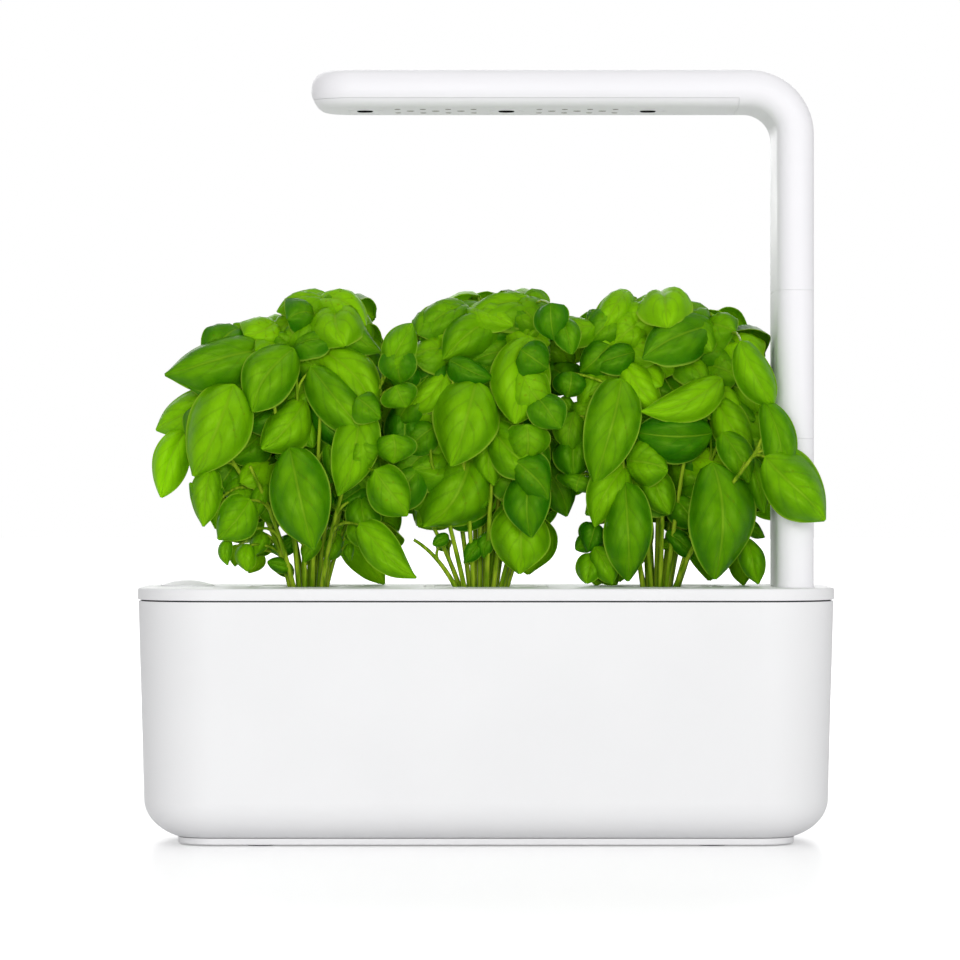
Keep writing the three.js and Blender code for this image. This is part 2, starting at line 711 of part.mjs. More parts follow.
// Each leaf: base across, up and in depth, tip across, up and in depth, width, and how far it faces forward
const leafShares = [
  [
    [0.13, 0.91, 0, -0.33, 0.92, -0.1, 0.3, 0.3],
    [0.28, 0.93, 0.05, 0.28, 0.81, -0.45, 0.68, 0.5],
    [-0.12, 0.81, 0.05, -0.52, 0.88, 0.1, 0.32, 0.6],
    [-0.49, 0.79, -0.1, -1.36, 0.7, -0.3, 0.46, 0.6],
    [-0.12, 0.8, -0.2, -0.62, 0.61, -0.45, 0.5, 0.8],
    [-0.12, 0.81, -0.1, 0.18, 0.83, -0.2, 0.25, 0.3],
    [-0.79, 0.66, -0.35, -1.06, 0.375, -0.5, 0.58, 0.95],
    [-1.26, 0.61, -0.1, -1.52, 0.52, -0.15, 0.24, 0.9],
    [-1.39, 0.52, 0, -1.44, 0.315, -0.1, 0.3, 0.9],
    [-1.12, 0.35, -0.2, -0.86, 0.29, -0.3, 0.26, 0.7],
    [-0.64, 0.42, 0.1, -1.02, 0.3, 0.1, 0.34, 0.8],
    [-0.59, 0.28, -0.3, -0.93, 0.17, -0.4, 0.36, 0.9],
    [-0.19, 0.457, -0.4, 0.01, 0.14, -0.6, 0.55, 1],
    [-0.06, 0.61, -0.3, -0.37, 0.467, -0.45, 0.4, 0.9],
    [0.03, 0.73, -0.25, 0.56, 0.52, -0.5, 0.45, 0.85],
    [0.13, 0.8, -0.1, 0.72, 0.6, -0.35, 0.48, 0.8],
    [-0.01, 0.62, -0.2, 0.41, 0.467, -0.35, 0.35, 0.9],
    [0.6, 0.57, -0.35, 0.53, 0.317, -0.55, 0.46, 1],
    [0.46, 0.37, 0.1, 0.75, 0.25, 0.1, 0.34, 0.9],
    [0.42, 0.19, -0.4, 0.8, 0.03, -0.55, 0.32, 0.9],
    [0.74, 0.85, 0, 0.62, 0.72, -0.1, 0.34, 0.9],
  ],
  [
    [-0.2, 0.95, 0.05, -0.6, 0.87, -0.2, 0.35, 0.4],
    [-0.25, 0.87, 0.05, -0.66, 0.78, 0.1, 0.32, 0.9],
    [-0.3, 0.88, 0, 0.22, 0.77, -0.2, 0.38, 0.7],
    [0.38, 0.96, 0.05, 0.4, 0.88, -0.45, 0.88, 0.3],
    [0.5, 0.91, 0.1, 0.76, 0.83, 0.1, 0.28, 0.8],
    [0.57, 0.81, -0.3, 0.52, 0.555, -0.5, 0.54, 0.95],
    [-0.38, 0.74, -0.3, 0.02, 0.67, -0.45, 0.34, 0.8],
    [-0.37, 0.74, -0.25, -0.72, 0.58, -0.4, 0.34, 0.85],
    [-0.02, 0.66, -0.35, -0.4, 0.43, -0.55, 0.6, 0.9],
    [0.15, 0.54, -0.3, 0.61, 0.367, -0.5, 0.4, 0.9],
    [-0.1, 0.45, -0.4, -0.56, 0.21, -0.6, 0.64, 1],
    [-0.05, 0.24, 0, -0.35, 0.19, -0.1, 0.22, 0.7],
    [0.55, 0.38, 0.1, 0.52, 0.18, 0, 0.42, 0.95],
    [0.5, 0.24, -0.3, 0.57, 0.06, -0.5, 0.48, 0.9],
  ],
  [
    [-0.25, 0.91, 0.05, -0.57, 0.88, 0.05, 0.26, 0.8],
    [0, 0.96, 0.1, 0, 0.89, -0.4, 0.48, 0.35],
    [0.31, 0.92, 0.05, 0.82, 0.84, 0.1, 0.24, 0.5],
    [0.55, 0.86, -0.1, -0.18, 0.8, -0.35, 0.46, 0.6],
    [0.84, 0.81, -0.5, 1.02, 0.6, -0.74, 0.3, 0.9],
    [-0.25, 0.8, -0.1, -0.66, 0.73, -0.1, 0.26, 0.8],
    [-0.34, 0.68, -0.3, -0.6, 0.365, -0.5, 0.44, 0.95],
    [-0.52, 0.75, 0, -0.68, 0.61, 0, 0.22, 0.9],
    [0.63, 0.67, -0.3, -0.12, 0.58, -0.5, 0.4, 0.7],
    [0.5, 0.56, -0.1, -0.1, 0.42, -0.25, 0.44, 0.9],
    [-0.1, 0.5, -0.3, -0.22, 0.34, -0.45, 0.38, 0.95],
    [-0.38, 0.38, -0.2, -0.66, 0.25, -0.3, 0.3, 0.9],
    [-0.33, 0.32, -0.3, -0.28, 0.04, -0.45, 0.44, 1],
    [0.51, 0.39, -0.4, 0.53, 0.045, -0.6, 0.6, 1],
    [1.02, 0.42, -0.8, 1.56, 0.28, -0.92, 0.54, 1],
    [0.78, 0.7, 0.1, 0.82, 0.45, 0.05, 0.4, 0.9],
  ],
];

// Blade widths along a leaf, and the leaves that have a fellow at the back of the bush
const bladeShares = [[0.28, 0.9], [0.64, 0.88], [1, 0.06]];
const smallBladeShares = [[0.42, 1], [1, 0.06]];
const smallWidthShare = 0.33;
const backWidthShare = 0.44;
const backDepthShare = 0.34;
const backSpreadShare = 0.93;
const backSunkShare = 0.02;
const elbowDepthShare = 0.4;
const stalkThinShare = 0.4;
const jointShares = [0, 0.25, 0.5, 0.75, 0.97];

function bushPoint(across, up, depth) {
  return new THREE.Vector3(across * leafReach, depth * bushDepth, lidTop + up * canopyHigh);
}

function stalkCurves(shares) {
  return shares.map(([topAcross, topUp, topDepth, elbowAcross, elbowUp], k) => {
    const turn = (k / shares.length) * 2 * Math.PI;
    const ring = rootRadius / 2;
    const rootX = ring * Math.sign(topAcross) * Math.abs(Math.cos(turn));
    return new THREE.QuadraticBezierCurve3(
      new THREE.Vector3(rootX, ring * Math.sin(turn), plugTop - rootDepth / 2),
      bushPoint(elbowAcross, elbowUp, topDepth * elbowDepthShare),
      bushPoint(topAcross, topUp, topDepth),
    );
  });
}

function stalkSolid(curve) {
  const rings = curve.getPoints(stalkSteps).map((centre, k) => {
    const radius = stalkRadius * (1 - (k / stalkSteps) * stalkThinShare);
    return Array.from({ length: stalkSides }, (_, i) => {
      const turn = (i / stalkSides) * 2 * Math.PI;
      return new THREE.Vector3(radius * Math.cos(turn), radius * Math.sin(turn), 0).add(centre);
    });
  });
  return solidFrom(loft(rings));
}

// Three points round a centre, anticlockwise about the way that they go: two edges and a ridge
function wedge(centre, side, normal, halfWidth, high) {
  return [
    centre.clone().addScaledVector(side, halfWidth),
    centre.clone().addScaledVector(normal, high),
    centre.clone().addScaledVector(side, -halfWidth),
  ];
}

// The part of a vector that stands square to a direction, at length one
const squareTo = (along, vector) => vector.clone().addScaledVector(along, -vector.dot(along)).normalize();

// Places along the arched midrib of a leaf, with the way it runs, the way it faces and its side
function midrib(base, tip, facing) {
  const run = tip.clone().sub(base);
  const along = run.clone().normalize();
  const normal = squareTo(along, facing);
  const arch = 4 * leafArchShare * run.length();
  const at = (place) => {
    const level = base.clone().addScaledVector(run, place);
    return level.addScaledVector(normal, arch * place * (1 - place));
  };
  return { at, along, normal, side: normal.clone().cross(along) };
}

// The leaf's side and face turned to stand square to another direction
function turnedTo(along, rib) {
  const slant = (vector) => Math.abs(vector.dot(along));
  if (slant(rib.side) < slant(rib.normal)) {
    const side = squareTo(along, rib.side);
    return { side, normal: along.clone().cross(side) };
  }
  const normal = squareTo(along, rib.normal);
  return { side: normal.clone().cross(along), normal };
}

// A leaf on its petiole: three-sided sections from the joint on the stalk to the tip
function leafSolid(joint, rib, width) {
  const petiole = rib.at(0).sub(joint).normalize();
  const middle = petiole.clone().add(rib.along).normalize();
  const rings = [[joint, petiole], [rib.at(0), middle]].map(([centre, along]) => {
    const { side, normal } = turnedTo(along, rib);
    const low = centre.clone().addScaledVector(normal, -petioleRadius);
    return wedge(low, side, normal, petioleRadius, 2 * petioleRadius);
  });
  const shares = width > smallWidthShare * leafReach ? bladeShares : smallBladeShares;
  for (const [place, spread] of shares) {
    const low = rib.at(place).addScaledVector(rib.normal, -leafThick / 2);
    rings.push(wedge(low, rib.side, rib.normal, (spread * width) / 2, leafThick));
  }
  return solidFrom(loft(rings));
}

function makeBasil(pod) {
  const curves = stalkCurves(stalkShares[pod]);
  const joints = curves.flatMap((curve) => {
    const points = curve.getPoints(stalkSteps);
    const between = (from, to) => jointShares.map((share) => from.clone().lerp(to, share));
    return points.slice(1, -1).flatMap((point, k) => between(point, points[k + 2]));
  });
  const solids = curves.map(stalkSolid);
  const roots = [
    [0, plugTop - rootDepth],
    [rootRadius / 2, plugTop - rootDepth],
    [rootRadius, plugTop - rootDepth / 2],
    [rootRadius, plugTop],
    [rootRadius / 2, plugTop + plugSunk / 4],
    [0, plugTop + plugSunk / 4],
  ];
  solids.push(turned(roots, 0, 0, smallSides));
  const addLeaf = (share, sideways) => {
    const [baseX, baseZ, baseY, tipX, tipZ, tipY, width, forward] = share;
    const base = bushPoint(baseX, baseZ, baseY);
    const tip = bushPoint(tipX, tipZ, tipY);
    const facing = new THREE.Vector3(0, sideways * forward, 1 - forward);
    const low = base.clone().setZ(base.z - leafReach / 4);
    const nearer = (best, point) => (point.distanceTo(low) < best.distanceTo(low) ? point : best);
    const joint = joints.reduce(nearer);
    solids.push(leafSolid(joint, midrib(base, tip, facing), width * leafReach));
  };
  for (const share of leafShares[pod]) {
    addLeaf(share, -1);
    const [baseX, baseZ, baseY, tipX, tipZ, tipY, width, forward] = share;
    if (width < backWidthShare || -tipY < backDepthShare) continue;
    const backBase = [baseX * backSpreadShare, baseZ - backSunkShare, -baseY];
    const backTip = [tipX * backSpreadShare, tipZ - backSunkShare / 2, -tipY];
    addLeaf([...backBase, ...backTip, width, forward], 1);
  }
  return wasm.Manifold.union(solids).translate([podX[pod], 0, 0]);
}

podX.forEach((x, pod) => {
  piece(`pod_basket_${pod + 1}`, makeCup(x), liner);
  piece(`peat_plug_${pod + 1}`, makePlug(x), peat);
  piece(`wick_${pod + 1}`, makeWick(x), felt);
  piece(`basil_${pod + 1}`, makeBasil(pod), leafGreen);
});

// Extension arms: open tubes, each with a tongue that plugs into the one below
const tongueInset = armWall + slide;
const tongueInside = tongueInset + tongueWall;
const linkHigh = 5;
const stripHalf = barThick / 8;

function tongueRings(seam) {
  return [
    barRing(tongueInset, seam - tongueLength),
    barRing(tongueInset, seam),
    barRing(0, seam),
  ];
}

function makeUpperArm() {
  const rings = [
    ...tongueRings(lowerSeam),
    barRing(0, upperSeam - seat),
    barRing(armWall, upperSeam - seat),
    barRing(armWall, lowerSeam + armWall),
    barRing(tongueInside, lowerSeam + armWall),
    barRing(tongueInside, lowerSeam - tongueLength),
  ];
  return solidFrom(loft(rings, true));
}

function makeLowerArm() {
  const rings = [
    barRing(0, armBottom),
    barRing(0, lowerSeam - seat),
    barRing(armWall, lowerSeam - seat),
    barRing(armWall, armBottom),
  ];
  return solidFrom(loft(rings, true));
}

// Contact insert of an arm: a block at its foot, a block under the next tongue, and a strip between
function makeLink(footInset, foot, seam) {
  const head = seam - tongueLength - seat;
  const low = solidFrom(loft([barRing(footInset, foot), barRing(footInset, foot + linkHigh)]));
  const high = solidFrom(loft([barRing(armWall + seat, head - linkHigh), barRing(armWall + seat, head)]));
  const [stripFoot, stripHead] = [foot + linkHigh / 2, head - linkHigh / 2];
  const strip = block(mastX - stripHalf, mastX + stripHalf, -pinHalf, pinHalf, stripFoot, stripHead);
  return wasm.Manifold.union([low, high, strip]);
}

piece("lower_arm", makeLowerArm(), lampCasing);
piece("upper_arm", makeUpperArm(), lampCasing);
piece("lower_arm_contacts", makeLink(armWall + seat, armBottom, lowerSeam), blackPlastic);
piece("upper_arm_contacts", makeLink(tongueInside + seat, lowerSeam - tongueLength, upperSeam), blackPlastic);

// Lamp: housing, lower cover with its lenses and screw wells, LED board, heat spreader and lead
const coverHigh = 3.6;
const coverEnd = bendX - 2 * armWall;
const wellInset = 22.9;
const wellPitch = 61.6;
const wellCount = 3;
const wellRadius = 3.6;
const ringRadius = 7.5;
const ringDepth = 0.6;
const tubeWall = 1.4;
const wellDepth = 2.3;
const bendLeadShares = [0.1, 0.4, 0.7, 0.95];
const ledPitch = 5.5;
const ledColumns = 7;
const pairLens = 1.45;
const singleLens = 1.85;
const pairRow = 11;
const ledHigh = 1.4;
const boardThick = 1.2;
const spreaderThick = 2;
const lampLeadRadius = 1.2;
const coverSeam = headBottom + coverHigh;
const coverFloor = headBottom + armWall;
const wellTop = headBottom + wellDepth + tubeWall;
const wellX = Array.from({ length: wellCount }, (_, k) => tipX + wellInset + k * wellPitch);
const boardBottom = coverFloor + seat;
const boardTop = boardBottom + boardThick;
const spreaderBottom = boardTop + seat;
const boardHalf = barDepth / 2 - barEdge - armWall;
const boardLeft = wellX[0] - wellInset / 2;
const boardRight = wellX[wellCount - 1] + wellInset / 2;
const tubeClear = wellRadius + tubeWall + 2 * seat;
const ledSpots = wellX.slice(1).flatMap((x) =>
  Array.from({ length: ledColumns }, (_, k) => {
    const place = x - wellPitch / 2 + (k - (ledColumns - 1) / 2) * ledPitch;
    return k % 2 === 0 ? [[place, -pairRow, pairLens], [place, pairRow, pairLens]] : [[place, 0, singleLens]];
  }).flat(),
);

function makeHousing() {
  const legFoot = upperSeam + armWall;
  const wholeBar = barSolid(0, legFoot);
  const room = barSolid(armWall, legFoot - cut, hollowSteps);
  const plugRings = [
    ...tongueRings(upperSeam),
    barRing(0, legFoot),
    barRing(tongueInside, legFoot),
    barRing(tongueInside, upperSeam - tongueLength),
  ];
  const plug = solidFrom(loft(plugRings, true));
  const coverRoom = block(tipX - cut, coverEnd, -barDepth, barDepth, headBottom - cut, coverSeam);
  let housing = wholeBar.subtract(room).add(plug).subtract(coverRoom);
  const roof = headBottom + barThick - armWall / 2;
  for (const x of wellX) {
    housing = housing.add(rod(wellRadius + tubeWall, wellTop + seat, roof, x, 0, smallSides));
    housing = housing.subtract(rod(screwShank + seat, wellTop - cut, wellTop + screwReach, x, 0, smallSides));
  }
  return housing;
}

function makeCover() {
  const low = block(tipX - cut, coverEnd - seat, -barDepth, barDepth, headBottom - cut, coverSeam - seat);
  const inner = block(tipX - cut, coverEnd - seat - armWall, -barDepth, barDepth, coverFloor, coverSeam);
  const room = barSolid(armWall, upperSeam, hollowSteps).intersect(inner);
  let cover = barSolid(0, upperSeam).intersect(low).subtract(room);
  for (const x of wellX) {
    cover = cover.add(rod(wellRadius + tubeWall, coverFloor - armWall / 2, wellTop, x, 0, smallSides));
    cover = cover.subtract(rod(ringRadius, headBottom - cut, headBottom + ringDepth, x, 0, roundSides));
    cover = cover.subtract(rod(wellRadius, headBottom - cut, headBottom + wellDepth, x, 0, smallSides));
    cover = cover.subtract(rod(screwShank + seat, headBottom, wellTop + cut, x, 0, smallSides));
  }
  for (const [x, y, radius] of ledSpots) {
    cover = cover.subtract(rod(radius, headBottom - cut, coverFloor + cut, x, y, holeSides));
  }
  return cover;
}

function makeBoard() {
  const plate = block(boardLeft, boardRight, -boardHalf, boardHalf, boardBottom, boardTop);
  const leds = ledSpots.map(([x, y, radius]) =>
    rod(radius - seat, boardBottom - ledHigh, boardBottom + boardThick / 2, x, y, holeSides),
  );
  let board = wasm.Manifold.union([plate, ...leds]);
  for (const x of wellX) {
    board = board.subtract(rod(tubeClear, boardBottom - cut, boardTop + cut, x, 0, smallSides));
  }
  return board;
}

function makeSpreader() {
  const spreaderTop = spreaderBottom + spreaderThick;
  let plate = block(boardLeft, boardRight, -boardHalf, boardHalf, spreaderBottom, spreaderTop);
  for (const x of wellX) {
    plate = plate.subtract(rod(tubeClear, spreaderBottom - cut, spreaderTop + cut, x, 0, smallSides));
  }
  return plate;
}

function makeLampLead() {
  const start = new THREE.Vector3(mastX, 0, upperSeam - tongueLength + linkHigh + seat);
  const points = [start, new THREE.Vector3(mastX, 0, bendHeight - bendRadius / 2)];
  for (const share of bendLeadShares) {
    const turn = share * (Math.PI / 2);
    const outward = new THREE.Vector3(Math.cos(turn), 0, Math.sin(turn));
    points.push(outward.multiplyScalar(bendRadius).add(new THREE.Vector3(bendX, 0, bendHeight)));
  }
  const level = spreaderBottom + spreaderThick / 2;
  points.push(new THREE.Vector3(boardRight + bendInside, 0, level));
  points.push(new THREE.Vector3(boardRight + seat, 0, level));
  return tube(points, lampLeadRadius, 3 * tubeSides);
}

function makeLampContacts() {
  const foot = upperSeam - tongueLength;
  return solidFrom(loft([barRing(tongueInside + seat, foot), barRing(tongueInside + seat, foot + linkHigh)]));
}

piece("lamp_housing", makeHousing(), lampCasing);
piece("lamp_cover", makeCover(), lampCasing);
piece("led_board", makeBoard(), boardGreen);
piece("heat_spreader", makeSpreader(), aluminium);
piece("lamp_lead", makeLampLead(), blackPlastic);
piece("lamp_contacts", makeLampContacts(), blackPlastic);
wellX.forEach((x, k) => {
  const headBase = headBottom + wellDepth - screwHeadHigh - seat;
  const screw = makeScrew(x, 0, headBase, wellRadius - seat, wellTop + screwReach - seat);
  piece(`lamp_screw_${k + 1}`, screw, blackSteel);
});

export default garden;
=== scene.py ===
"""Looks of the countertop hydroponic garden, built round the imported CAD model. Lengths are in metres."""

import math
import random

import bmesh
import bpy
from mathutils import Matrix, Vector


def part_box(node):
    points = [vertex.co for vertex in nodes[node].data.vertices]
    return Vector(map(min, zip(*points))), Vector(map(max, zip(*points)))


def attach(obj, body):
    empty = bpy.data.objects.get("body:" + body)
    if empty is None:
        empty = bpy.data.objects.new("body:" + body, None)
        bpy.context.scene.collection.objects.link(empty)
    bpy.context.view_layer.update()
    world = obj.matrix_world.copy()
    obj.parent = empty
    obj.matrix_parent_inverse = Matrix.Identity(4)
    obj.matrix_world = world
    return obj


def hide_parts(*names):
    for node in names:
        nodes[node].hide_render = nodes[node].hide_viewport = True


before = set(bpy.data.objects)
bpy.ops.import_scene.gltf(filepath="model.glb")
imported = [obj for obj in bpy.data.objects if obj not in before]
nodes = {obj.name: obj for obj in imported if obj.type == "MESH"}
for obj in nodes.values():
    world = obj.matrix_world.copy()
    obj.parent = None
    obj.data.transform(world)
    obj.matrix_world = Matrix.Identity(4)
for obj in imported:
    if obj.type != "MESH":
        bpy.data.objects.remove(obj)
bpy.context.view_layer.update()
bpy.context.scene.view_settings.view_transform = "Standard"

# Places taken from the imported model
lid_low, lid_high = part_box("lid")
shell_low, shell_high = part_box("planter_shell")
plate_low, plate_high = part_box("base_plate")
arm_low, arm_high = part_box("lower_arm")
upper_low, upper_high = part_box("upper_arm")
housing_low, housing_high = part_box("lamp_housing")
cap_low, cap_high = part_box("float_cap")
jack_low, jack_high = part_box("power_jack")
foot_low, foot_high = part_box("rubber_foot_1")
half_lid = lid_high.x
half_depth = lid_high.y
lid_top = lid_high.z
mast_x = (arm_low.x + arm_high.x) / 2
float_x = (cap_low.x + cap_high.x) / 2
bar_thick = arm_high.x - arm_low.x
bar_depth = arm_high.y - arm_low.y
tip_x = housing_low.x
head_top = housing_high.z
head_middle = head_top - bar_thick / 2
head_bottom = head_top - bar_thick
pod_x = [(low.x + high.x) / 2 for low, high in (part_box(f"pod_basket_{n}") for n in (1, 2, 3))]
half_pitch = (pod_x[1] - pod_x[0]) / 2

# Clearances and walls
seat = 0.0003
slide = 0.0004
fine_gap = 0.00012
cut = 0.001
edge_round = 0.0004
hair_gap = 0.00004
hair_round = 0.0001

# Tub, lid and float
lid_corner = 0.034
lid_height = 0.0052
lid_edge = 0.001
lid_wall = 0.0022
rib_wall = 0.0016
shell_step = 0.0003
shell_taper = 0.0024
shell_wall = 0.0024
rim_wall = 0.0012
rim_depth = 0.0032
rim_round = 0.00015
heel_wide = 0.024
heel_high = 0.0175
plinth_inset = 0.0144
plinth_height = plate_high.z + seat - plate_low.z
recess_radius = 0.0146
recess_depth = 0.0026
fill_hole = 0.0022
fill_ring = 0.0102
fill_count = 4
stem_radius = 0.0021
cap_radius = (cap_high.x - cap_low.x) / 2
cap_dome = cap_high.z - lid_top
cap_rim = 0.0005
float_travel = 0.0305
lid_bottom = lid_top - lid_height
shell_top = shell_high.z
shell_bottom = shell_low.z

# Lamp bar
bar_edge = 0.0074
arm_wall = 0.0022
tongue_length = 0.014
tongue_wall = 0.0016
bend_inside = 0.012
tip_corner = 0.018
bend_radius = bend_inside + bar_thick / 2
bend_height = head_bottom - bend_inside
bend_x = mast_x - bend_radius
lower_seam = upper_low.z + tongue_length
upper_seam = housing_low.z + tongue_length
cover_rise = 0.0036
cover_seam = head_bottom + cover_rise

# Pods
flange_half = 0.0265
flange_thick = 0.002
cup_corner = 0.008
cup_ledge = 0.0022
cup_neck = 0.0234
cup_foot = 0.0175
cup_depth = 0.062
cup_wall = 0.0014
cup_neck_corner = 0.006
plug_sunk = 0.003
plug_top = lid_top - plug_sunk
disc_gap = 0.0001
disc_sunk = 0.0003
disc_thick = 0.0006
disc_hole = 0.0122
crumb_size = 0.0007
crumb_density = 160000.0

# Basil
leaf_reach = 0.0436
canopy_high = 0.1305
bush_depth = 0.052

# Counts of facets, and the angles past which an edge stays sharp
corner_steps = 20
square_steps = 10
bar_steps = 18
bend_steps = 28
edge_steps = 6
plate_steps = 5
cap_steps = 12
round_sides = 72
small_sides = 24
sharp_angle = math.radians(32)
sharp_on_screws = math.radians(40)

# Surface grain: how deep it is, and how many grains there are to a metre
lamp_grain = 0.000006
metal_grain = 0.00001
casing_grain = 0.000012
plastic_grain = 0.00002
rubber_grain = 0.00004
leaf_cell_grain = 0.00006
stalk_grain = 0.0001
leaf_vein_sunk = 0.00012
leaf_vein_raised = 0.0002
felt_grain = 0.0002
crumb_grain = 0.0004
peat_grain = 0.0012
fine_grain = 2600.0
broad_grain = 900.0
tone_fineness = 9.0
polish_fineness = 38.0
lens_speck_fineness = 1500.0
leaf_cell_fineness = 620.0
leaf_blotch_fineness = 120.0
stalk_streak_fineness = 500.0
floor_fineness = 3.0


def linear(red, green, blue):
    """A colour as a screen shows it, from 0 to 255, turned into light."""
    def light(level):
        share = level / 255
        return share / 12.92 if share <= 0.04045 else ((share + 0.055) / 1.055) ** 2.4

    return (light(red), light(green), light(blue), 1.0)


def new_material(name, colour, roughness, metallic=0.0):
    """A Principled material, with its node tree and its shader node."""
    material = bpy.data.materials.new(name)
    material.use_nodes = True
    shader = material.node_tree.nodes["Principled BSDF"]
    shader.inputs["Base Color"].default_value = colour
    shader.inputs["Roughness"].default_value = roughness
    shader.inputs["Metallic"].default_value = metallic
    return material, material.node_tree, shader


def add_node(tree, kind, **settings):
    """A node of one kind. Settings with a capital letter are sockets, the others are properties."""
    node = tree.nodes.new(kind)
    for name, value in settings.items():
        if name[0].isupper():
            node.inputs[name.replace("_", " ")].default_value = value
        else:
            setattr(node, name, value)
    return node


def calculate(tree, operation, first, second=None, third=None):
    """A Math node on sockets or numbers. Returns its output socket."""
    node = add_node(tree, "ShaderNodeMath", operation=operation)
    for socket, value in zip(node.inputs, (first, second, third)):
        if value is None:
            continue
        if isinstance(value, (int, float)):
            socket.default_value = value
        else:
            tree.links.new(value, socket)
    return node.outputs[0]


def blend_colours(tree, share, first, second):
    """A colour mix. Its share and its two colours are sockets or values."""
    node = add_node(tree, "ShaderNodeMix", data_type="RGBA")
    for socket, value in ((node.inputs[0], share), (node.inputs[6], first), (node.inputs[7], second)):
        if isinstance(value, bpy.types.NodeSocket):
            tree.links.new(value, socket)
        else:
            socket.default_value = value
    return node.outputs[2]


def ramp_between(tree, value, low, high, to_low=0.0, to_high=1.0):
    """A value mapped smoothly from one range to another. Returns the output socket."""
    node = add_node(tree, "ShaderNodeMapRange", interpolation_type="SMOOTHSTEP")
    node.inputs["From Min"].default_value = low
    node.inputs["From Max"].default_value = high
    node.inputs["To Min"].default_value = to_low
    node.inputs["To Max"].default_value = to_high
    tree.links.new(value, node.inputs["Value"])
    return node.outputs["Result"]


def noise_on_piece(tree, fineness, detail=2.0, stretch=(1, 1, 1)):
    """Noise on Object coordinates. The fineness is in blotches for each metre."""
    place = add_node(tree, "ShaderNodeTexCoord")
    mapping = add_node(tree, "ShaderNodeMapping")
    mapping.inputs["Scale"].default_value = stretch
    noise = add_node(tree, "ShaderNodeTexNoise", Scale=fineness, Detail=detail)
    tree.links.new(place.outputs["Object"], mapping.inputs["Vector"])
    tree.links.new(mapping.outputs["Vector"], noise.inputs["Vector"])
    return noise.outputs["Fac"]


def add_bump(tree, shader, height, distance, strength=1.0):
    """Bump from a height socket, onto whatever bump the shader already has."""
    bump = add_node(tree, "ShaderNodeBump", Strength=strength, Distance=distance)
    tree.links.new(height, bump.inputs["Height"])
    earlier = shader.inputs["Normal"].links
    if earlier:
        tree.links.new(earlier[0].from_socket, bump.inputs["Normal"])
    tree.links.new(bump.outputs["Normal"], shader.inputs["Normal"])


def moulded_plastic(name, colour, shade, roughness, grain_depth, grain_fineness=fine_grain, gloss=0.5):
    """Moulded plastic: slow changes of tone, patches of more and less polish, and a fine moulding grain."""
    material, tree, shader = new_material(name, colour, roughness)
    slow = ramp_between(tree, noise_on_piece(tree, tone_fineness), 0.35, 0.65)
    tree.links.new(blend_colours(tree, slow, colour, shade), shader.inputs["Base Color"])
    patches = noise_on_piece(tree, polish_fineness, 3.0)
    polish = ramp_between(tree, patches, 0.3, 0.7, roughness * 0.92, roughness * 1.08)
    tree.links.new(polish, shader.inputs["Roughness"])
    add_bump(tree, shader, noise_on_piece(tree, grain_fineness, 1.0), grain_depth)
    shader.inputs["Specular IOR Level"].default_value = gloss
    return material


def brushed_metal(name, colour, roughness, fineness):
    """Metal with fine streaks round its axis or along its length."""
    material, tree, shader = new_material(name, colour, roughness, 1.0)
    streaks = noise_on_piece(tree, fineness, 2.0, (1, 1, 8))
    polish = ramp_between(tree, streaks, 0.3, 0.7, roughness * 0.8, roughness * 1.25)
    tree.links.new(polish, shader.inputs["Roughness"])
    add_bump(tree, shader, streaks, metal_grain)
    return material


def fibrous(name, dark, light, fineness, depth, stretch=(1, 1, 1)):
    """Matted fibres: peat or felt."""
    material, tree, shader = new_material(name, dark, 0.95)
    fibres = noise_on_piece(tree, fineness, 6.0, stretch)
    shade = blend_colours(tree, ramp_between(tree, fibres, 0.35, 0.68), dark, light)
    tree.links.new(shade, shader.inputs["Base Color"])
    shader.inputs["Specular IOR Level"].default_value = 0.2
    add_bump(tree, shader, fibres, depth)
    return material


casing = moulded_plastic("satin white casing", linear(246, 246, 247), linear(243, 243, 244), 0.42,
                         casing_grain, gloss=0.3)
lamp_casing = moulded_plastic("glossy white casing", linear(250, 249, 252), linear(248, 247, 250), 0.38,
                              lamp_grain, broad_grain, 0.25)
liner = moulded_plastic("liner plastic", linear(222, 224, 225), linear(214, 217, 219), 0.48, plastic_grain)
pod_plastic = moulded_plastic("pod plastic", linear(236, 236, 232), linear(229, 230, 225), 0.5, plastic_grain)
rubber = moulded_plastic("foot rubber", linear(118, 119, 121), linear(106, 107, 110), 0.8, rubber_grain)
# Painted shade: near-black for the ring that darkens the seam under the lid
seam_shade_black = moulded_plastic("seam shade black", linear(40, 40, 42), linear(48, 48, 50), 0.8, plastic_grain)
black_plastic = moulded_plastic("black plastic", linear(24, 24, 26), linear(31, 31, 33), 0.45, plastic_grain)
board_white = moulded_plastic("board lacquer", linear(232, 230, 220), linear(226, 223, 211), 0.5,
                              plastic_grain)
steel = brushed_metal("screw steel", linear(196, 198, 200), 0.32, 700.0)
black_oxide = moulded_plastic("blackened steel", linear(14, 14, 15), linear(22, 22, 23), 0.7,
                              metal_grain, broad_grain, 0.04)
aluminium = brushed_metal("spreader aluminium", linear(206, 208, 210), 0.38, 500.0)
felt = fibrous("wick felt", linear(216, 211, 198), linear(240, 237, 228), 900.0, felt_grain, (1, 1, 0.25))
peat = fibrous("peat", linear(38, 26, 18), linear(96, 70, 48), 420.0, peat_grain)
crumb_brown = fibrous("peat crumbs", linear(46, 32, 22), linear(118, 88, 60), 700.0, crumb_grain)


def lens_silicone():
    """Dull silicone of the lamp's lenses, with tiny bubbles."""
    material, tree, shader = new_material("lens silicone", linear(118, 112, 98), 0.4)
    specks = ramp_between(tree, noise_on_piece(tree, lens_speck_fineness, 2.0), 0.4, 0.7)
    dull = blend_colours(tree, specks, linear(96, 90, 76), linear(134, 128, 112))
    tree.links.new(dull, shader.inputs["Base Color"])
    shader.inputs["Specular IOR Level"].default_value = 0.2
    return material


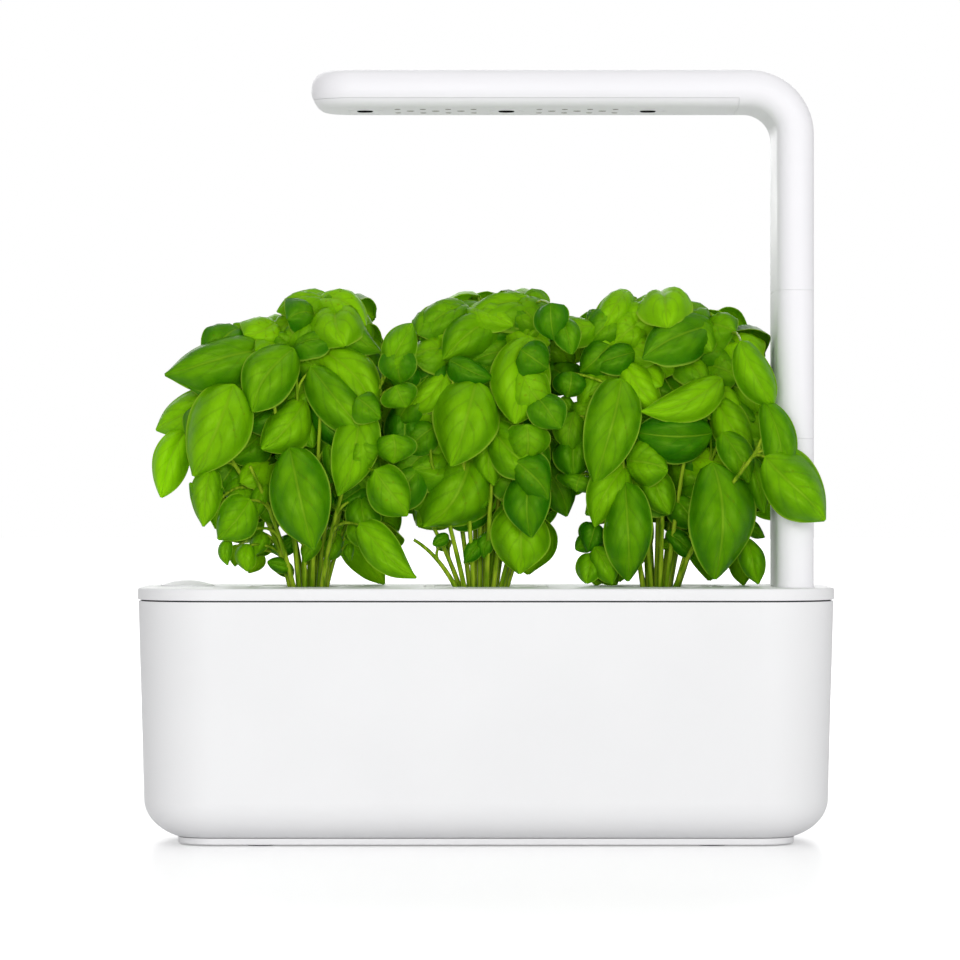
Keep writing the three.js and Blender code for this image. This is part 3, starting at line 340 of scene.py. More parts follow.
lens_dull = lens_silicone()


def leaf_material(name, under):
    """A basil blade: veins that follow the blade's own map, the tone of each leaf with painted backlight on
    the back ones, painted shade in the creases, a painted highlight along the rim and painted light over the
    middle.
    """
    material, tree, shader = new_material(name, leaf_middle, 0.5 if under else 0.3)
    place = add_node(tree, "ShaderNodeUVMap", uv_map="blade")
    split = add_node(tree, "ShaderNodeSeparateXYZ")
    tree.links.new(place.outputs["UV"], split.inputs["Vector"])
    across, along = split.outputs["X"], split.outputs["Y"]
    centred = calculate(tree, "SUBTRACT", across, 0.5)
    outward = calculate(tree, "MULTIPLY", calculate(tree, "ABSOLUTE", centred), 2.0)
    bent = calculate(tree, "POWER", outward, vein_bend)
    slanted = calculate(tree, "MULTIPLY_ADD", bent, -vein_slant_share, along)
    phase = calculate(tree, "PINGPONG", calculate(tree, "MULTIPLY", slanted, float(vein_count)), 0.5)
    side_vein = ramp_between(tree, phase, *side_vein_shares, 1.0, 0.0)
    middle = ramp_between(tree, outward, *midrib_shares, 1.0, 0.0)
    fade = ramp_between(tree, outward, *vein_fade_shares, 1.0, 0.1)
    faint = calculate(tree, "MULTIPLY", side_vein, calculate(tree, "MULTIPLY", fade, 0.5))
    veins = calculate(tree, "MAXIMUM", faint, middle)
    # Painted shade: the blade darkened in the creases along the side veins and beside the midrib
    side_vein_shade_mask = ramp_between(tree, phase, *side_crease_shade_shares, 1.0, 0.0)
    side_crease_shade = calculate(tree, "MULTIPLY", side_vein_shade_mask, fade)
    midrib_shade_mask = ramp_between(tree, outward, *middle_crease_shade_shares, 1.0, 0.0)
    crease_shade = calculate(tree, "MAXIMUM", side_crease_shade, midrib_shade_mask)
    # Painted highlight: a pale line along the edge of each blade, where light catches it
    rim = ramp_between(tree, outward, *rim_highlight_shares)
    # The tone of each leaf: its own green, with painted backlight on the leaves at the back
    tone = add_node(tree, "ShaderNodeAttribute", attribute_name="tone").outputs["Fac"]
    blotches = noise_on_piece(tree, leaf_blotch_fineness, 3.0)
    blotched = calculate(tree, "SUBTRACT", blotches, 0.5)
    tone_and_painted_light = calculate(tree, "MULTIPLY_ADD", blotched, leaf_blotch_share, tone)
    # Painted light and shade: the middle of each blade lighter and its sides darker, as a domed leaf lit from
    # the front looks
    painted_dome_light = calculate(tree, "SUBTRACT", 0.5, outward)
    tone_and_painted_light = calculate(tree, "MULTIPLY_ADD", painted_dome_light, leaf_dome_light_share, tone_and_painted_light)
    # The painted crease shade darkens the blade
    tone_and_painted_light = calculate(tree, "MULTIPLY_ADD", crease_shade, -leaf_crease_shade_share, tone_and_painted_light)
    dark, light = (leaf_under_dark, leaf_under_light) if under else (leaf_dark, leaf_light)
    body = blend_colours(tree, ramp_between(tree, tone_and_painted_light, 0.0, 1.0), dark, light)
    veined = blend_colours(tree, calculate(tree, "MULTIPLY", veins, leaf_vein_share), body, leaf_vein)
    # The painted rim highlight laid over the veined colour
    rim_highlighted = blend_colours(tree, calculate(tree, "MULTIPLY", rim, leaf_rim_highlight_share), veined, leaf_rim_highlight)
    tree.links.new(rim_highlighted, shader.inputs["Base Color"])
    shader.inputs["Specular IOR Level"].default_value = 0.2 if under else 0.65
    shader.inputs["Specular Tint"].default_value = leaf_sheen
    network = add_node(tree, "ShaderNodeTexVoronoi", feature="DISTANCE_TO_EDGE", Scale=leaf_cell_fineness)
    coordinates = add_node(tree, "ShaderNodeTexCoord")
    tree.links.new(coordinates.outputs["Object"], network.inputs["Vector"])
    cells = ramp_between(tree, network.outputs["Distance"], 0.0, 0.25)
    add_bump(tree, shader, cells, leaf_cell_grain, 0.6)
    add_bump(tree, shader, veins, leaf_vein_raised if under else -leaf_vein_sunk, 0.7)
    through = add_node(tree, "ShaderNodeBsdfTranslucent")
    tree.links.new(blend_colours(tree, 0.5, rim_highlighted, leaf_glow), through.inputs["Color"])
    mixed = add_node(tree, "ShaderNodeMixShader", Fac=leaf_through_share)
    tree.links.new(shader.outputs["BSDF"], mixed.inputs[1])
    tree.links.new(through.outputs["BSDF"], mixed.inputs[2])
    tree.links.new(mixed.outputs["Shader"], tree.nodes["Material Output"].inputs["Surface"])
    return material


leaf_middle = linear(90, 150, 8)
leaf_dark = linear(44, 130, 4)
leaf_light = linear(180, 250, 12)
leaf_sheen = linear(200, 240, 90)
leaf_under_dark = linear(92, 144, 8)
leaf_under_light = linear(170, 214, 16)
leaf_vein = linear(172, 216, 40)
# Pale green of the painted highlight along the rim
leaf_rim_highlight = linear(196, 228, 70)
leaf_glow = linear(196, 252, 8)
side_vein_shares = [0.012, 0.045]
midrib_shares = [0.02, 0.065]
vein_fade_shares = [0.5, 0.95]
# Where the painted shade of the creases lies beside the side veins and the midrib
side_crease_shade_shares = [0.04, 0.11]
middle_crease_shade_shares = [0.05, 0.13]
# Where the painted rim highlight lies, as a share of the half width
rim_highlight_shares = [0.94, 0.98]
leaf_blotch_share = 0.4
leaf_vein_share = 0.42
leaf_rim_highlight_share = 0.55
# How much lighter the middle of a blade is painted than its sides
leaf_dome_light_share = 0.24
leaf_crease_shade_share = 0.1
leaf_through_share = 0.4
vein_count = 4
vein_slant_share = 0.5
vein_bend = 1.25
leaf_green = leaf_material("basil leaf face", False)
leaf_under_green = leaf_material("basil leaf back", True)


def stalk_material():
    """Stalks: yellow-green with lengthwise streaks, and a faint sheen of the same green."""
    material, tree, shader = new_material("basil stalk", linear(118, 152, 24), 0.4)
    lengthwise = noise_on_piece(tree, stalk_streak_fineness, 3.0, (1, 1, 0.12))
    streaks = ramp_between(tree, lengthwise, 0.35, 0.65)
    body = blend_colours(tree, streaks, linear(92, 134, 6), linear(156, 184, 40))
    tree.links.new(body, shader.inputs["Base Color"])
    shader.inputs["Specular Tint"].default_value = leaf_sheen
    add_bump(tree, shader, streaks, stalk_grain)
    return material


stalk_green = stalk_material()

# Meshes


def bands(start, count, rows, around=True):
    """Faces between rows of equally many points, all round or along open rows."""
    faces = []
    for k in range(rows - 1):
        low = start + k * count
        high = low + count
        for i in range(count if around else count - 1):
            after = (i + 1) % count
            faces.append((low + i, low + after, high + after, high + i))
    return faces


def shape(name, points, faces):
    """An object at the origin with its place in its mesh."""
    mesh = bpy.data.meshes.new(name)
    mesh.from_pydata([tuple(point) for point in points], [], faces)
    made = bpy.data.objects.new(name, mesh)
    bpy.context.scene.collection.objects.link(made)
    return made


def lofted(name, rings, joined=False):
    """A closed surface through rings of equally many points, capped at both ends or joined end to end."""
    count = len(rings[0])
    last = (len(rings) - 1) * count
    points = [point for ring in rings for point in ring]
    faces = bands(0, count, len(rings))
    if joined:
        faces += [(last + i, last + (i + 1) % count, (i + 1) % count, i) for i in range(count)]
    else:
        faces.append(tuple(reversed(range(count))))
        faces.append(tuple(range(last, last + count)))
    return shape(name, points, faces)


def turned(name, outline, x=0.0, y=0.0, sides=round_sides):
    """A solid revolved about a vertical axis. Its outline runs up from the axis, or round to its start."""
    points = []
    rows = []
    joined = outline[0] == outline[-1]
    for radius, z in outline[:-1] if joined else outline:
        if radius == 0:
            rows.append([len(points)])
            points.append((x, y, z))
            continue
        rows.append(list(range(len(points), len(points) + sides)))
        for k in range(sides):
            turn = math.tau * k / sides
            points.append((x + radius * math.cos(turn), y + radius * math.sin(turn), z))
    if joined:
        rows.append(rows[0])
    faces = []
    for low, high in zip(rows, rows[1:]):
        for k in range(sides):
            after = (k + 1) % sides
            if len(low) == 1 and len(high) > 1:
                faces.append((low[0], high[after], high[k]))
            elif len(high) == 1 and len(low) > 1:
                faces.append((low[k], low[after], high[0]))
            elif len(low) > 1:
                faces.append((low[k], low[after], high[after], high[k]))
    return shape(name, points, faces)


def rod(radius, z0, z1, x=0.0, y=0.0, sides=small_sides):
    return turned("rod", [(0, z0), (radius, z0), (radius, z1), (0, z1)], x, y, sides)


def block(x0, x1, y0, y1, z0, z1):
    ring = [(x0, y0), (x1, y0), (x1, y1), (x0, y1)]
    return lofted("block", [[(x, y, z) for x, y in ring] for z in (z0, z1)])


def plan_ring(x0, x1, y0, y1, left_radius, right_radius, z, steps=corner_steps):
    """A rounded rectangle at height z, anticlockwise from above."""
    corners = (
        (x1 - right_radius, y1 - right_radius, right_radius),
        (x0 + left_radius, y1 - left_radius, left_radius),
        (x0 + left_radius, y0 + left_radius, left_radius),
        (x1 - right_radius, y0 + right_radius, right_radius),
    )
    points = []
    for quarter, (x, y, radius) in enumerate(corners):
        for k in range(steps + 1):
            turn = (quarter + k / steps) * math.pi / 2
            points.append((x + radius * math.cos(turn), y + radius * math.sin(turn), z))
    return points


def lid_ring(inset, z):
    wide = half_lid - inset
    deep = half_depth - inset
    return plan_ring(-wide, wide, -deep, deep, lid_corner - inset, lid_corner - inset, z)


def square_ring(half, radius, z, x=0.0, steps=square_steps):
    return plan_ring(x - half, x + half, -half, half, radius, radius, z, steps)


def applied(piece):
    """The piece with its modifiers turned into plain mesh."""
    evaluated = piece.evaluated_get(bpy.context.evaluated_depsgraph_get())
    mesh = bpy.data.meshes.new_from_object(evaluated)
    piece.modifiers.clear()
    earlier = piece.data
    piece.data = mesh
    bpy.data.meshes.remove(earlier)
    return piece


def combine(piece, other, operation):
    """Adds, cuts or keeps the common part of another solid, which is used up."""
    modifier = piece.modifiers.new("combine", "BOOLEAN")
    modifier.operation = operation
    modifier.solver = "MANIFOLD"
    modifier.object = other
    applied(piece)
    bpy.data.objects.remove(other)
    return piece


def finished(piece, name, material, body, *replaced, slot=None, sharp=sharp_angle):
    """Smooth shading with sharp edges kept, a material, and the body that the piece moves with."""
    piece.name = name
    piece.data.name = name
    piece.data.materials.clear()
    piece.data.materials.append(material)
    piece.data.shade_smooth()
    piece.data.set_sharp_from_angle(angle=sharp)
    weighted = piece.modifiers.new("normals", "WEIGHTED_NORMAL")
    weighted.keep_sharp = True
    applied(piece)
    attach(piece, body)
    if replaced:
        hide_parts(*replaced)
    return piece


def group_sockets(tree, inputs, output):
    """The named sockets of a Geometry Nodes group. Returns its input and output nodes."""
    for label, kind in inputs:
        tree.interface.new_socket(name=label, in_out="INPUT", socket_type="NodeSocket" + kind)
    tree.interface.new_socket(name=output, in_out="OUTPUT", socket_type="NodeSocketGeometry")
    return tree.nodes.new("NodeGroupInput"), tree.nodes.new("NodeGroupOutput")


def end_group(tree, instances, given, result):
    """Smooth shading, real instances and a material, at the end of a group."""
    smooth = tree.nodes.new("GeometryNodeSetShadeSmooth")
    real = tree.nodes.new("GeometryNodeRealizeInstances")
    dress = tree.nodes.new("GeometryNodeSetMaterial")
    tree.links.new(instances, real.inputs["Geometry"])
    tree.links.new(real.outputs["Geometry"], smooth.inputs["Geometry"])
    tree.links.new(smooth.outputs["Geometry"], dress.inputs["Geometry"])
    tree.links.new(given.outputs["Finish"], dress.inputs["Material"])
    tree.links.new(dress.outputs["Geometry"], result.inputs[0])
    return tree


def path_tree():
    """Geometry Nodes: a round stalk along every path, as thick as the path's own radius."""
    tree = bpy.data.node_groups.new("stalks along paths", "GeometryNodeTree")
    inputs = (("Paths", "Geometry"), ("Thickness", "Float"), ("Sides", "Int"), ("Finish", "Material"))
    given, result = group_sockets(tree, inputs, "Stalks")
    circle = tree.nodes.new("GeometryNodeCurvePrimitiveCircle")
    radius = tree.nodes.new("GeometryNodeInputRadius")
    sweep = tree.nodes.new("GeometryNodeCurveToMesh")
    sweep.inputs["Fill Caps"].default_value = True
    link = tree.links.new
    link(given.outputs["Sides"], circle.inputs["Resolution"])
    link(given.outputs["Thickness"], circle.inputs["Radius"])
    link(given.outputs["Paths"], sweep.inputs["Curve"])
    link(circle.outputs["Curve"], sweep.inputs["Profile Curve"])
    link(radius.outputs["Radius"], sweep.inputs["Scale"])
    return end_group(tree, sweep.outputs["Mesh"], given, result)


def place_tree():
    """Geometry Nodes: one piece stood on every point."""
    tree = bpy.data.node_groups.new("piece on every point", "GeometryNodeTree")
    inputs = (("Places", "Geometry"), ("Piece", "Object"), ("Finish", "Material"))
    given, result = group_sockets(tree, inputs, "Pieces")
    piece = tree.nodes.new("GeometryNodeObjectInfo")
    points = tree.nodes.new("GeometryNodeMeshToPoints")
    stand = tree.nodes.new("GeometryNodeInstanceOnPoints")
    link = tree.links.new
    link(given.outputs["Piece"], piece.inputs["Object"])
    link(given.outputs["Places"], points.inputs["Mesh"])
    link(points.outputs["Points"], stand.inputs["Points"])
    link(piece.outputs["Geometry"], stand.inputs["Instance"])
    return end_group(tree, stand.outputs["Instances"], given, result)


def crumb_tree():
    """Geometry Nodes: crumbs strewn over a surface, each turned and sized by chance."""
    tree = bpy.data.node_groups.new("crumbs on a surface", "GeometryNodeTree")
    inputs = (("Surface", "Geometry"), ("Density", "Float"), ("Size", "Float"), ("Seed", "Int"),
              ("Finish", "Material"))
    given, result = group_sockets(tree, inputs, "Crumbs")
    strew = tree.nodes.new("GeometryNodeDistributePointsOnFaces")
    crumb = tree.nodes.new("GeometryNodeMeshIcoSphere")
    crumb.inputs["Subdivisions"].default_value = 1
    flat = tree.nodes.new("FunctionNodeRandomValue")
    flat.data_type = "FLOAT_VECTOR"
    flat.inputs["Min"].default_value = crumb_least_shares
    flat.inputs["Max"].default_value = crumb_most_shares
    spin = tree.nodes.new("FunctionNodeRandomValue")
    spin.data_type = "FLOAT_VECTOR"
    spin.inputs["Max"].default_value = (math.tau, math.tau, math.tau)
    stand = tree.nodes.new("GeometryNodeInstanceOnPoints")
    link = tree.links.new
    link(given.outputs["Surface"], strew.inputs["Mesh"])
    link(given.outputs["Density"], strew.inputs["Density"])
    link(given.outputs["Seed"], strew.inputs["Seed"])
    link(given.outputs["Size"], crumb.inputs["Radius"])
    link(given.outputs["Seed"], flat.inputs["Seed"])
    link(given.outputs["Seed"], spin.inputs["Seed"])
    link(strew.outputs["Points"], stand.inputs["Points"])
    link(crumb.outputs["Mesh"], stand.inputs["Instance"])
    link(flat.outputs["Value"], stand.inputs["Scale"])
    link(spin.outputs["Value"], stand.inputs["Rotation"])
    return end_group(tree, stand.outputs["Instances"], given, result)


def grown(name, source, tree, body, slot_name, **inputs):
    """The mesh that a Geometry Nodes group makes from a source object, which is used up."""
    modifier = source.modifiers.new(name, "NODES")
    modifier.node_group = tree
    for item in tree.interface.items_tree:
        if item.in_out == "INPUT" and item.name in inputs:
            modifier[item.identifier] = inputs[item.name]
    evaluated = source.evaluated_get(bpy.context.evaluated_depsgraph_get())
    mesh = bpy.data.meshes.new_from_object(evaluated)
    bpy.data.objects.remove(source)
    mesh.name = name
    made = bpy.data.objects.new(name, mesh)
    bpy.context.scene.collection.objects.link(made)
    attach(made, body)
    return made


crumb_least_shares = (0.5, 0.4, 0.3)
crumb_most_shares = (1.3, 1.0, 0.8)
stalk_tree = path_tree()
standing_tree = place_tree()
strewn_tree = crumb_tree()


# Camera, floor and lights
camera_back = 2.338
camera_side = -0.0026
camera_high = 0.1568
camera_lens = 201.15
camera_reach = 100
camera = bpy.data.objects.new("camera", bpy.data.cameras.new("camera"))
camera.location = (camera_side, -camera_back, camera_high)
camera.rotation_euler = (math.pi / 2, 0, 0)
camera.data.lens = camera_lens
camera.data.clip_end = camera_reach
bpy.context.scene.collection.objects.link(camera)
bpy.context.scene.camera = camera


def studio_floor():
    """A pale floor that shows white to the camera and keeps the object's shadow."""
    floor = block(-floor_reach, floor_reach, -floor_reach, floor_reach, -slide, 0)
    floor.name = floor.data.name = "floor"
    material, tree, shader = new_material("studio floor", floor_middle, 0.32)
    tone = ramp_between(tree, noise_on_piece(tree, floor_fineness), 0.3, 0.7)
    tree.links.new(blend_colours(tree, tone, floor_dark, floor_light), shader.inputs["Base Color"])
    shader.inputs["Specular IOR Level"].default_value = 0.5
    glow = add_node(tree, "ShaderNodeEmission")
    glow.inputs["Color"].default_value = white
    place = add_node(tree, "ShaderNodeTexCoord")
    away = add_node(tree, "ShaderNodeVectorMath", operation="LENGTH")
    tree.links.new(place.outputs["Object"], away.inputs[0])
    lift = ramp_between(tree, away.outputs["Value"], floor_near, floor_far, floor_lift, 1.0)
    tree.links.new(lift, glow.inputs["Strength"])
    added = add_node(tree, "ShaderNodeAddShader")
    path = add_node(tree, "ShaderNodeLightPath")
    choice = add_node(tree, "ShaderNodeMixShader")
    tree.links.new(path.outputs["Is Camera Ray"], choice.inputs["Fac"])
    tree.links.new(shader.outputs["BSDF"], added.inputs[0])
    tree.links.new(glow.outputs["Emission"], added.inputs[1])
    tree.links.new(shader.outputs["BSDF"], choice.inputs[1])
    tree.links.new(added.outputs["Shader"], choice.inputs[2])
    tree.links.new(choice.outputs["Shader"], tree.nodes["Material Output"].inputs["Surface"])
    floor.data.materials.append(material)


def studio_world(level, seen_in_gloss):
    """Even light from all round. The camera sees it as white."""
    world = bpy.data.worlds.new("studio")
    world.use_nodes = True
    bpy.context.scene.world = world
    tree = world.node_tree
    backdrop = tree.nodes["Background"]
    backdrop.inputs["Color"].default_value = white
    path = add_node(tree, "ShaderNodeLightPath")
    gloss = calculate(tree, "MULTIPLY_ADD", path.outputs["Is Glossy Ray"], seen_in_gloss - level, level)
    seen = calculate(tree, "MAXIMUM", path.outputs["Is Camera Ray"], gloss)
    tree.links.new(seen, backdrop.inputs["Strength"])


def softbox(name, place, target, size, power):
    """A large area lamp that faces a target."""
    data = bpy.data.lights.new(name, "AREA")
    data.shape = "RECTANGLE"
    data.size, data.size_y = size
    data.energy = power
    lamp = bpy.data.objects.new(name, data)
    lamp.location = place
    lamp.rotation_euler = (Vector(target) - Vector(place)).to_track_quat("-Z", "Y").to_euler()
    bpy.context.scene.collection.objects.link(lamp)


white = (1, 1, 1, 1)
floor_dark = (0.87, 0.87, 0.88, 1)
floor_middle = (0.88, 0.88, 0.88, 1)
floor_light = (0.89, 0.89, 0.89, 1)
floor_reach = 12.0
floor_lift = 0.3
floor_near = 0.3
floor_far = 1.2
world_level = 0.48
world_in_gloss = 0.55
front_place = (0.4, -2.9, 0.66)
front_size = (4.2, 1.3)
front_power = 49
top_place = (0, 0.2, 1.9)
top_size = (1.8, 1.4)
top_power = 4
back_place = (-0.3, 1.8, 0.9)
back_size = (2.0, 1.2)
back_power = 13
studio_floor()
studio_world(world_level, world_in_gloss)
middle = (0, 0, head_middle / 2)
softbox("front softbox", front_place, middle, front_size, front_power)
softbox("top softbox", top_place, middle, top_size, top_power)
softbox("back softbox", back_place, middle, back_size, back_power)


# Tub: shell with a rounded heel, base plate, screws and feet
heel_turn = math.acos(1 - plinth_inset / heel_wide)
heel_top = shell_bottom + heel_high * math.sin(heel_turn)


def shell_inset(z):
    """How far the outside of the tub stands in from the lid's edge at each height."""
    taper = shell_step + shell_taper * (shell_top - max(z, heel_top)) / (shell_top - heel_top)
    if z >= heel_top:
        return taper
    sine = min((heel_top - z) / heel_high, math.sin(heel_turn))
    return taper + heel_wide * (1 - math.sqrt(1 - sine * sine))


def rising(low, high, steps):
    return [low + (high - low) * k / steps for k in range(steps + 1)]


def quarter_round(edge, steps):
    """How far a rounded edge stands in from each of its two sides, from one side to the other."""
    turns = rising(0, math.pi / 2, steps)
    return [(edge * (1 - math.sin(turn)), edge * (1 - math.cos(turn))) for turn in turns]


heel_steps = 14
side_steps = 6
shell_floor = shell_bottom + shell_wall
boss_x = half_lid - plinth_inset - lid_corner + 4 * shell_wall
boss_y = half_depth - plinth_inset - 5 * shell_wall
boss_spots = [(sx * boss_x, sy * boss_y) for sx in (-1, 1) for sy in (-1, 1)]
boss_radius = 0.004
boss_height = 0.009
screw_shank = 0.0015
screw_head = 0.003
screw_head_high = 0.0014
screw_reach = 0.007
foot_radius = (foot_high.x - foot_low.x) / 2
foot_spots = []
for number in (1, 2, 3, 4):
    low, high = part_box(f"rubber_foot_{number}")
    foot_spots.append(((low.x + high.x) / 2, (low.y + high.y) / 2))
jack_x = (jack_low.x + jack_high.x) / 2
jack_z = (jack_low.z + jack_high.z) / 2
jack_flange = (jack_high.x - jack_low.x) / 2
jack_radius = 0.0042
jack_bore = 0.00275
jack_pin = 0.001
jack_long = 0.011
jack_face = half_depth - shell_inset(jack_z)


def along_y(piece, x, y, z):
    """Turns an upright solid to point backwards from a place in the back wall."""
    for vertex in piece.data.vertices:
        across, deep, up = vertex.co
        vertex.co = (x - across, y + up, z + deep)
    return piece


def make_shell():
    heights = rising(shell_bottom, heel_top, heel_steps)
    heights += rising(heel_top, shell_top - rim_round, side_steps)[1:]
    outside = [lid_ring(shell_inset(z), z) for z in heights]
    inside = [lid_ring(shell_inset(z) + shell_wall, max(z, shell_floor)) for z in heights if z > shell_floor]
    inside = [ring for ring in inside if ring[0][2] < shell_top - rim_depth]
    rings = outside + [
        lid_ring(shell_step + rim_round / 3, shell_top - rim_round / 3),
        lid_ring(shell_step + rim_round, shell_top),
        lid_ring(shell_step + rim_wall, shell_top),
        lid_ring(shell_step + rim_wall, shell_top - rim_depth),
        lid_ring(shell_step + shell_wall, shell_top - rim_depth),
    ] + inside[::-1] + [lid_ring(shell_inset(shell_floor) + shell_wall, shell_floor)]
    shell = lofted("shell", rings)
    boss_top = shell_floor + boss_height
    for x, y in boss_spots:
        combine(shell, rod(boss_radius, shell_bottom + shell_wall / 2, boss_top, x, y), "UNION")
        combine(shell, rod(screw_shank + seat, shell_bottom - cut, boss_top + cut, x, y), "DIFFERENCE")
    hole = rod(jack_radius + seat, -jack_long, jack_long, sides=round_sides)
    combine(shell, along_y(hole, jack_x, jack_face, jack_z), "DIFFERENCE")
    return finished(shell, "tub_shell", casing, "base", "planter_shell", slot="casing")


def make_plate():
    inset = shell_step + shell_taper + plinth_inset + seat
    foot = plate_low.z
    quarter = quarter_round(plinth_height / 4, plate_steps)
    rings = [lid_ring(inset + draw, foot + rise) for draw, rise in quarter]
    rings.append(lid_ring(inset, plate_high.z))
    plate = lofted("plate", rings)
    for x, y in boss_spots:
        combine(plate, rod(screw_shank + seat, -cut, plate_high.z + cut, x, y), "DIFFERENCE")
        combine(plate, rod(screw_head + seat, -cut, foot + screw_head_high + seat, x, y), "DIFFERENCE")
    for x, y in foot_spots:
        combine(plate, rod(foot_radius + seat, -cut, foot_high.z + seat, x, y, round_sides), "DIFFERENCE")
    return finished(plate, "tub_plate", casing, "base", "base_plate", slot="casing")


def make_foot(number):
    x, y = foot_spots[number - 1]
    high = foot_high.z
    edge = high / 4
    groove = foot_radius / 2
    outline = [(0, edge), (groove - edge, edge), (groove, 0), (foot_radius - edge, 0), (foot_radius, edge)]
    foot = turned("foot", outline + [(foot_radius, high), (0, high)], x, y)
    return finished(foot, f"foot_pad_{number}", rubber, "base", f"rubber_foot_{number}", slot="rubber")


def make_jack():
    outline = [
        (0, -jack_long),
        (jack_radius, -jack_long),
        (jack_radius, 0),
        (jack_flange, 0),
        (jack_flange, shell_wall / 3),
        (jack_flange - shell_wall / 6, shell_wall / 2),
        (jack_bore + edge_round, shell_wall / 2),
        (jack_bore, shell_wall / 2 - edge_round),
        (jack_bore, jack_bore - jack_long),
        (jack_pin, jack_bore - jack_long),
        (jack_pin, -jack_pin),
        (jack_pin / 2, -jack_pin / 2),
        (0, -jack_pin / 2),
    ]
    jack = along_y(turned("jack", outline), jack_x, jack_face + seat, jack_z)
    return finished(jack, "jack_inlet", black_plastic, "base", "power_jack", slot="black_plastic")


make_shell()
make_plate()
for number in (1, 2, 3, 4):
    make_foot(number)
make_jack()


# Lamp bar: level rings round the mast, and the same section turned along the bend
def bar_ring(inset, z, steps=bar_steps):
    half = bar_thick / 2 - inset
    wide = bar_depth / 2 - inset
    corner = bar_edge - inset
    return plan_ring(mast_x - half, mast_x + half, -wide, wide, corner, corner, z, steps)


def bent_ring(inset, turn):
    placed = []
    for x, y, z in bar_ring(inset, 0):
        reach = bend_radius + x - mast_x
        placed.append((bend_x + reach * math.cos(turn), y, bend_height + reach * math.sin(turn)))
    return placed


def whole_bar(inset, z0, foot_round=0.0):
    """The leg from height z0, the bend and the head out to its rounded tip, as one closed surface."""
    leg = [bar_ring(inset, z0)]
    if foot_round:
        leg = [bar_ring(inset + foot_round, z0), bar_ring(inset + foot_round / 3, z0 + foot_round / 3)]
        leg.append(bar_ring(inset, z0 + foot_round))
    leg.append(bar_ring(inset, bend_height - bend_radius / 4))
    rings = leg + [bent_ring(inset, turn) for turn in rising(0, math.pi / 2, bend_steps)]
    count = len(rings[0])
    points = [point for ring in rings for point in ring]
    faces = bands(0, count, len(rings))
    faces.append(tuple(reversed(range(count))))
    half = bar_thick / 2 - inset
    wide = bar_depth / 2 - inset
    edge = bar_edge - inset
    quarter = [(draw, half - drop) for draw, drop in quarter_round(edge, bar_steps)]
    levels = [(draw, -rise) for draw, rise in reversed(quarter)] + quarter
    levels.sort(key=lambda level: level[1])
    start = len(points)
    for draw, rise in levels:
        left = tip_x + inset + draw
        corner = tip_corner - inset - draw
        outline = plan_ring(left, bend_x, draw - wide, wide - draw, corner, 0, head_middle + rise)
        around = outline[corner_steps:3 * (corner_steps + 1) + 1]
        length = len(around)
        points += around
    faces += bands(start, length, len(levels), around=False)
    faces.append(tuple(start + i for i in reversed(range(length))))
    top = start + (len(levels) - 1) * length
    faces.append(tuple(range(top, top + length)))
    bar = shape("bar", points, faces)
    sewn = bmesh.new()
    sewn.from_mesh(bar.data)
    bmesh.ops.remove_doubles(sewn, verts=sewn.verts, dist=seat / 100)
    sewn.to_mesh(bar.data)
    sewn.free()
    return bar


tongue_inset = arm_wall + slide
tongue_inside = tongue_inset + tongue_wall


def tongue_rings(seam):
    return [bar_ring(tongue_inset + edge_round, seam - tongue_length),
            bar_ring(tongue_inset, seam - tongue_length + edge_round),
            bar_ring(tongue_inset, seam)]


def rounded_foot(z, edge=hair_round):
    return [bar_ring(edge, z), bar_ring(edge / 3, z + edge / 3), bar_ring(0, z + edge)]


def rounded_head(z, edge=hair_round):
    return [bar_ring(0, z - edge), bar_ring(edge / 3, z - edge / 3), bar_ring(edge, z)]


def make_upper_arm():
    rings = tongue_rings(lower_seam) + rounded_foot(lower_seam) + rounded_head(upper_seam - hair_gap)
    rings += [
        bar_ring(arm_wall, upper_seam - hair_gap),
        bar_ring(arm_wall, lower_seam + arm_wall),
        bar_ring(tongue_inside, lower_seam + arm_wall),
        bar_ring(tongue_inside, lower_seam - tongue_length),
    ]
    arm = lofted("arm", rings, joined=True)
    return finished(arm, "mast_upper_arm", lamp_casing, "upper_mast", "upper_arm", slot="lamp_casing")


def make_lower_arm():
    rings = rounded_foot(arm_low.z, edge_round) + rounded_head(lower_seam - hair_gap)
    rings += [bar_ring(arm_wall, lower_seam - hair_gap), bar_ring(arm_wall, arm_low.z)]
    arm = lofted("arm", rings, joined=True)
    return finished(arm, "mast_lower_arm", lamp_casing, "lower_mast", "lower_arm", slot="lamp_casing")


# Lamp housing and cover
cover_end = bend_x - 2 * arm_wall
well_inset = 0.0229
well_pitch = 0.0616
well_radius = 0.0036
ring_radius = 0.0075
ring_depth = 0.0006
tube_wall = 0.0014
well_depth = 0.0023
head_proud = 0.0005
cross_long_share = 0.55
cross_slim_share = 0.13
led_pitch = 0.0055
led_columns = 7
pair_lens = 0.00145
single_lens = 0.00185
pair_row = 0.011
lens_gap = 0.0001
lens_proud = 0.0002
lens_depth = 0.0008
cover_floor = head_bottom + arm_wall
well_top = head_bottom + well_depth + tube_wall
well_x = [tip_x + well_inset + k * well_pitch for k in range(3)]
led_spots = []
for well in well_x[1:]:
    for column in range(led_columns):
        x = well - well_pitch / 2 + (column - (led_columns - 1) / 2) * led_pitch
        if column % 2:
            led_spots.append((x, 0.0, single_lens))
        else:
            led_spots += [(x, -pair_row, pair_lens), (x, pair_row, pair_lens)]


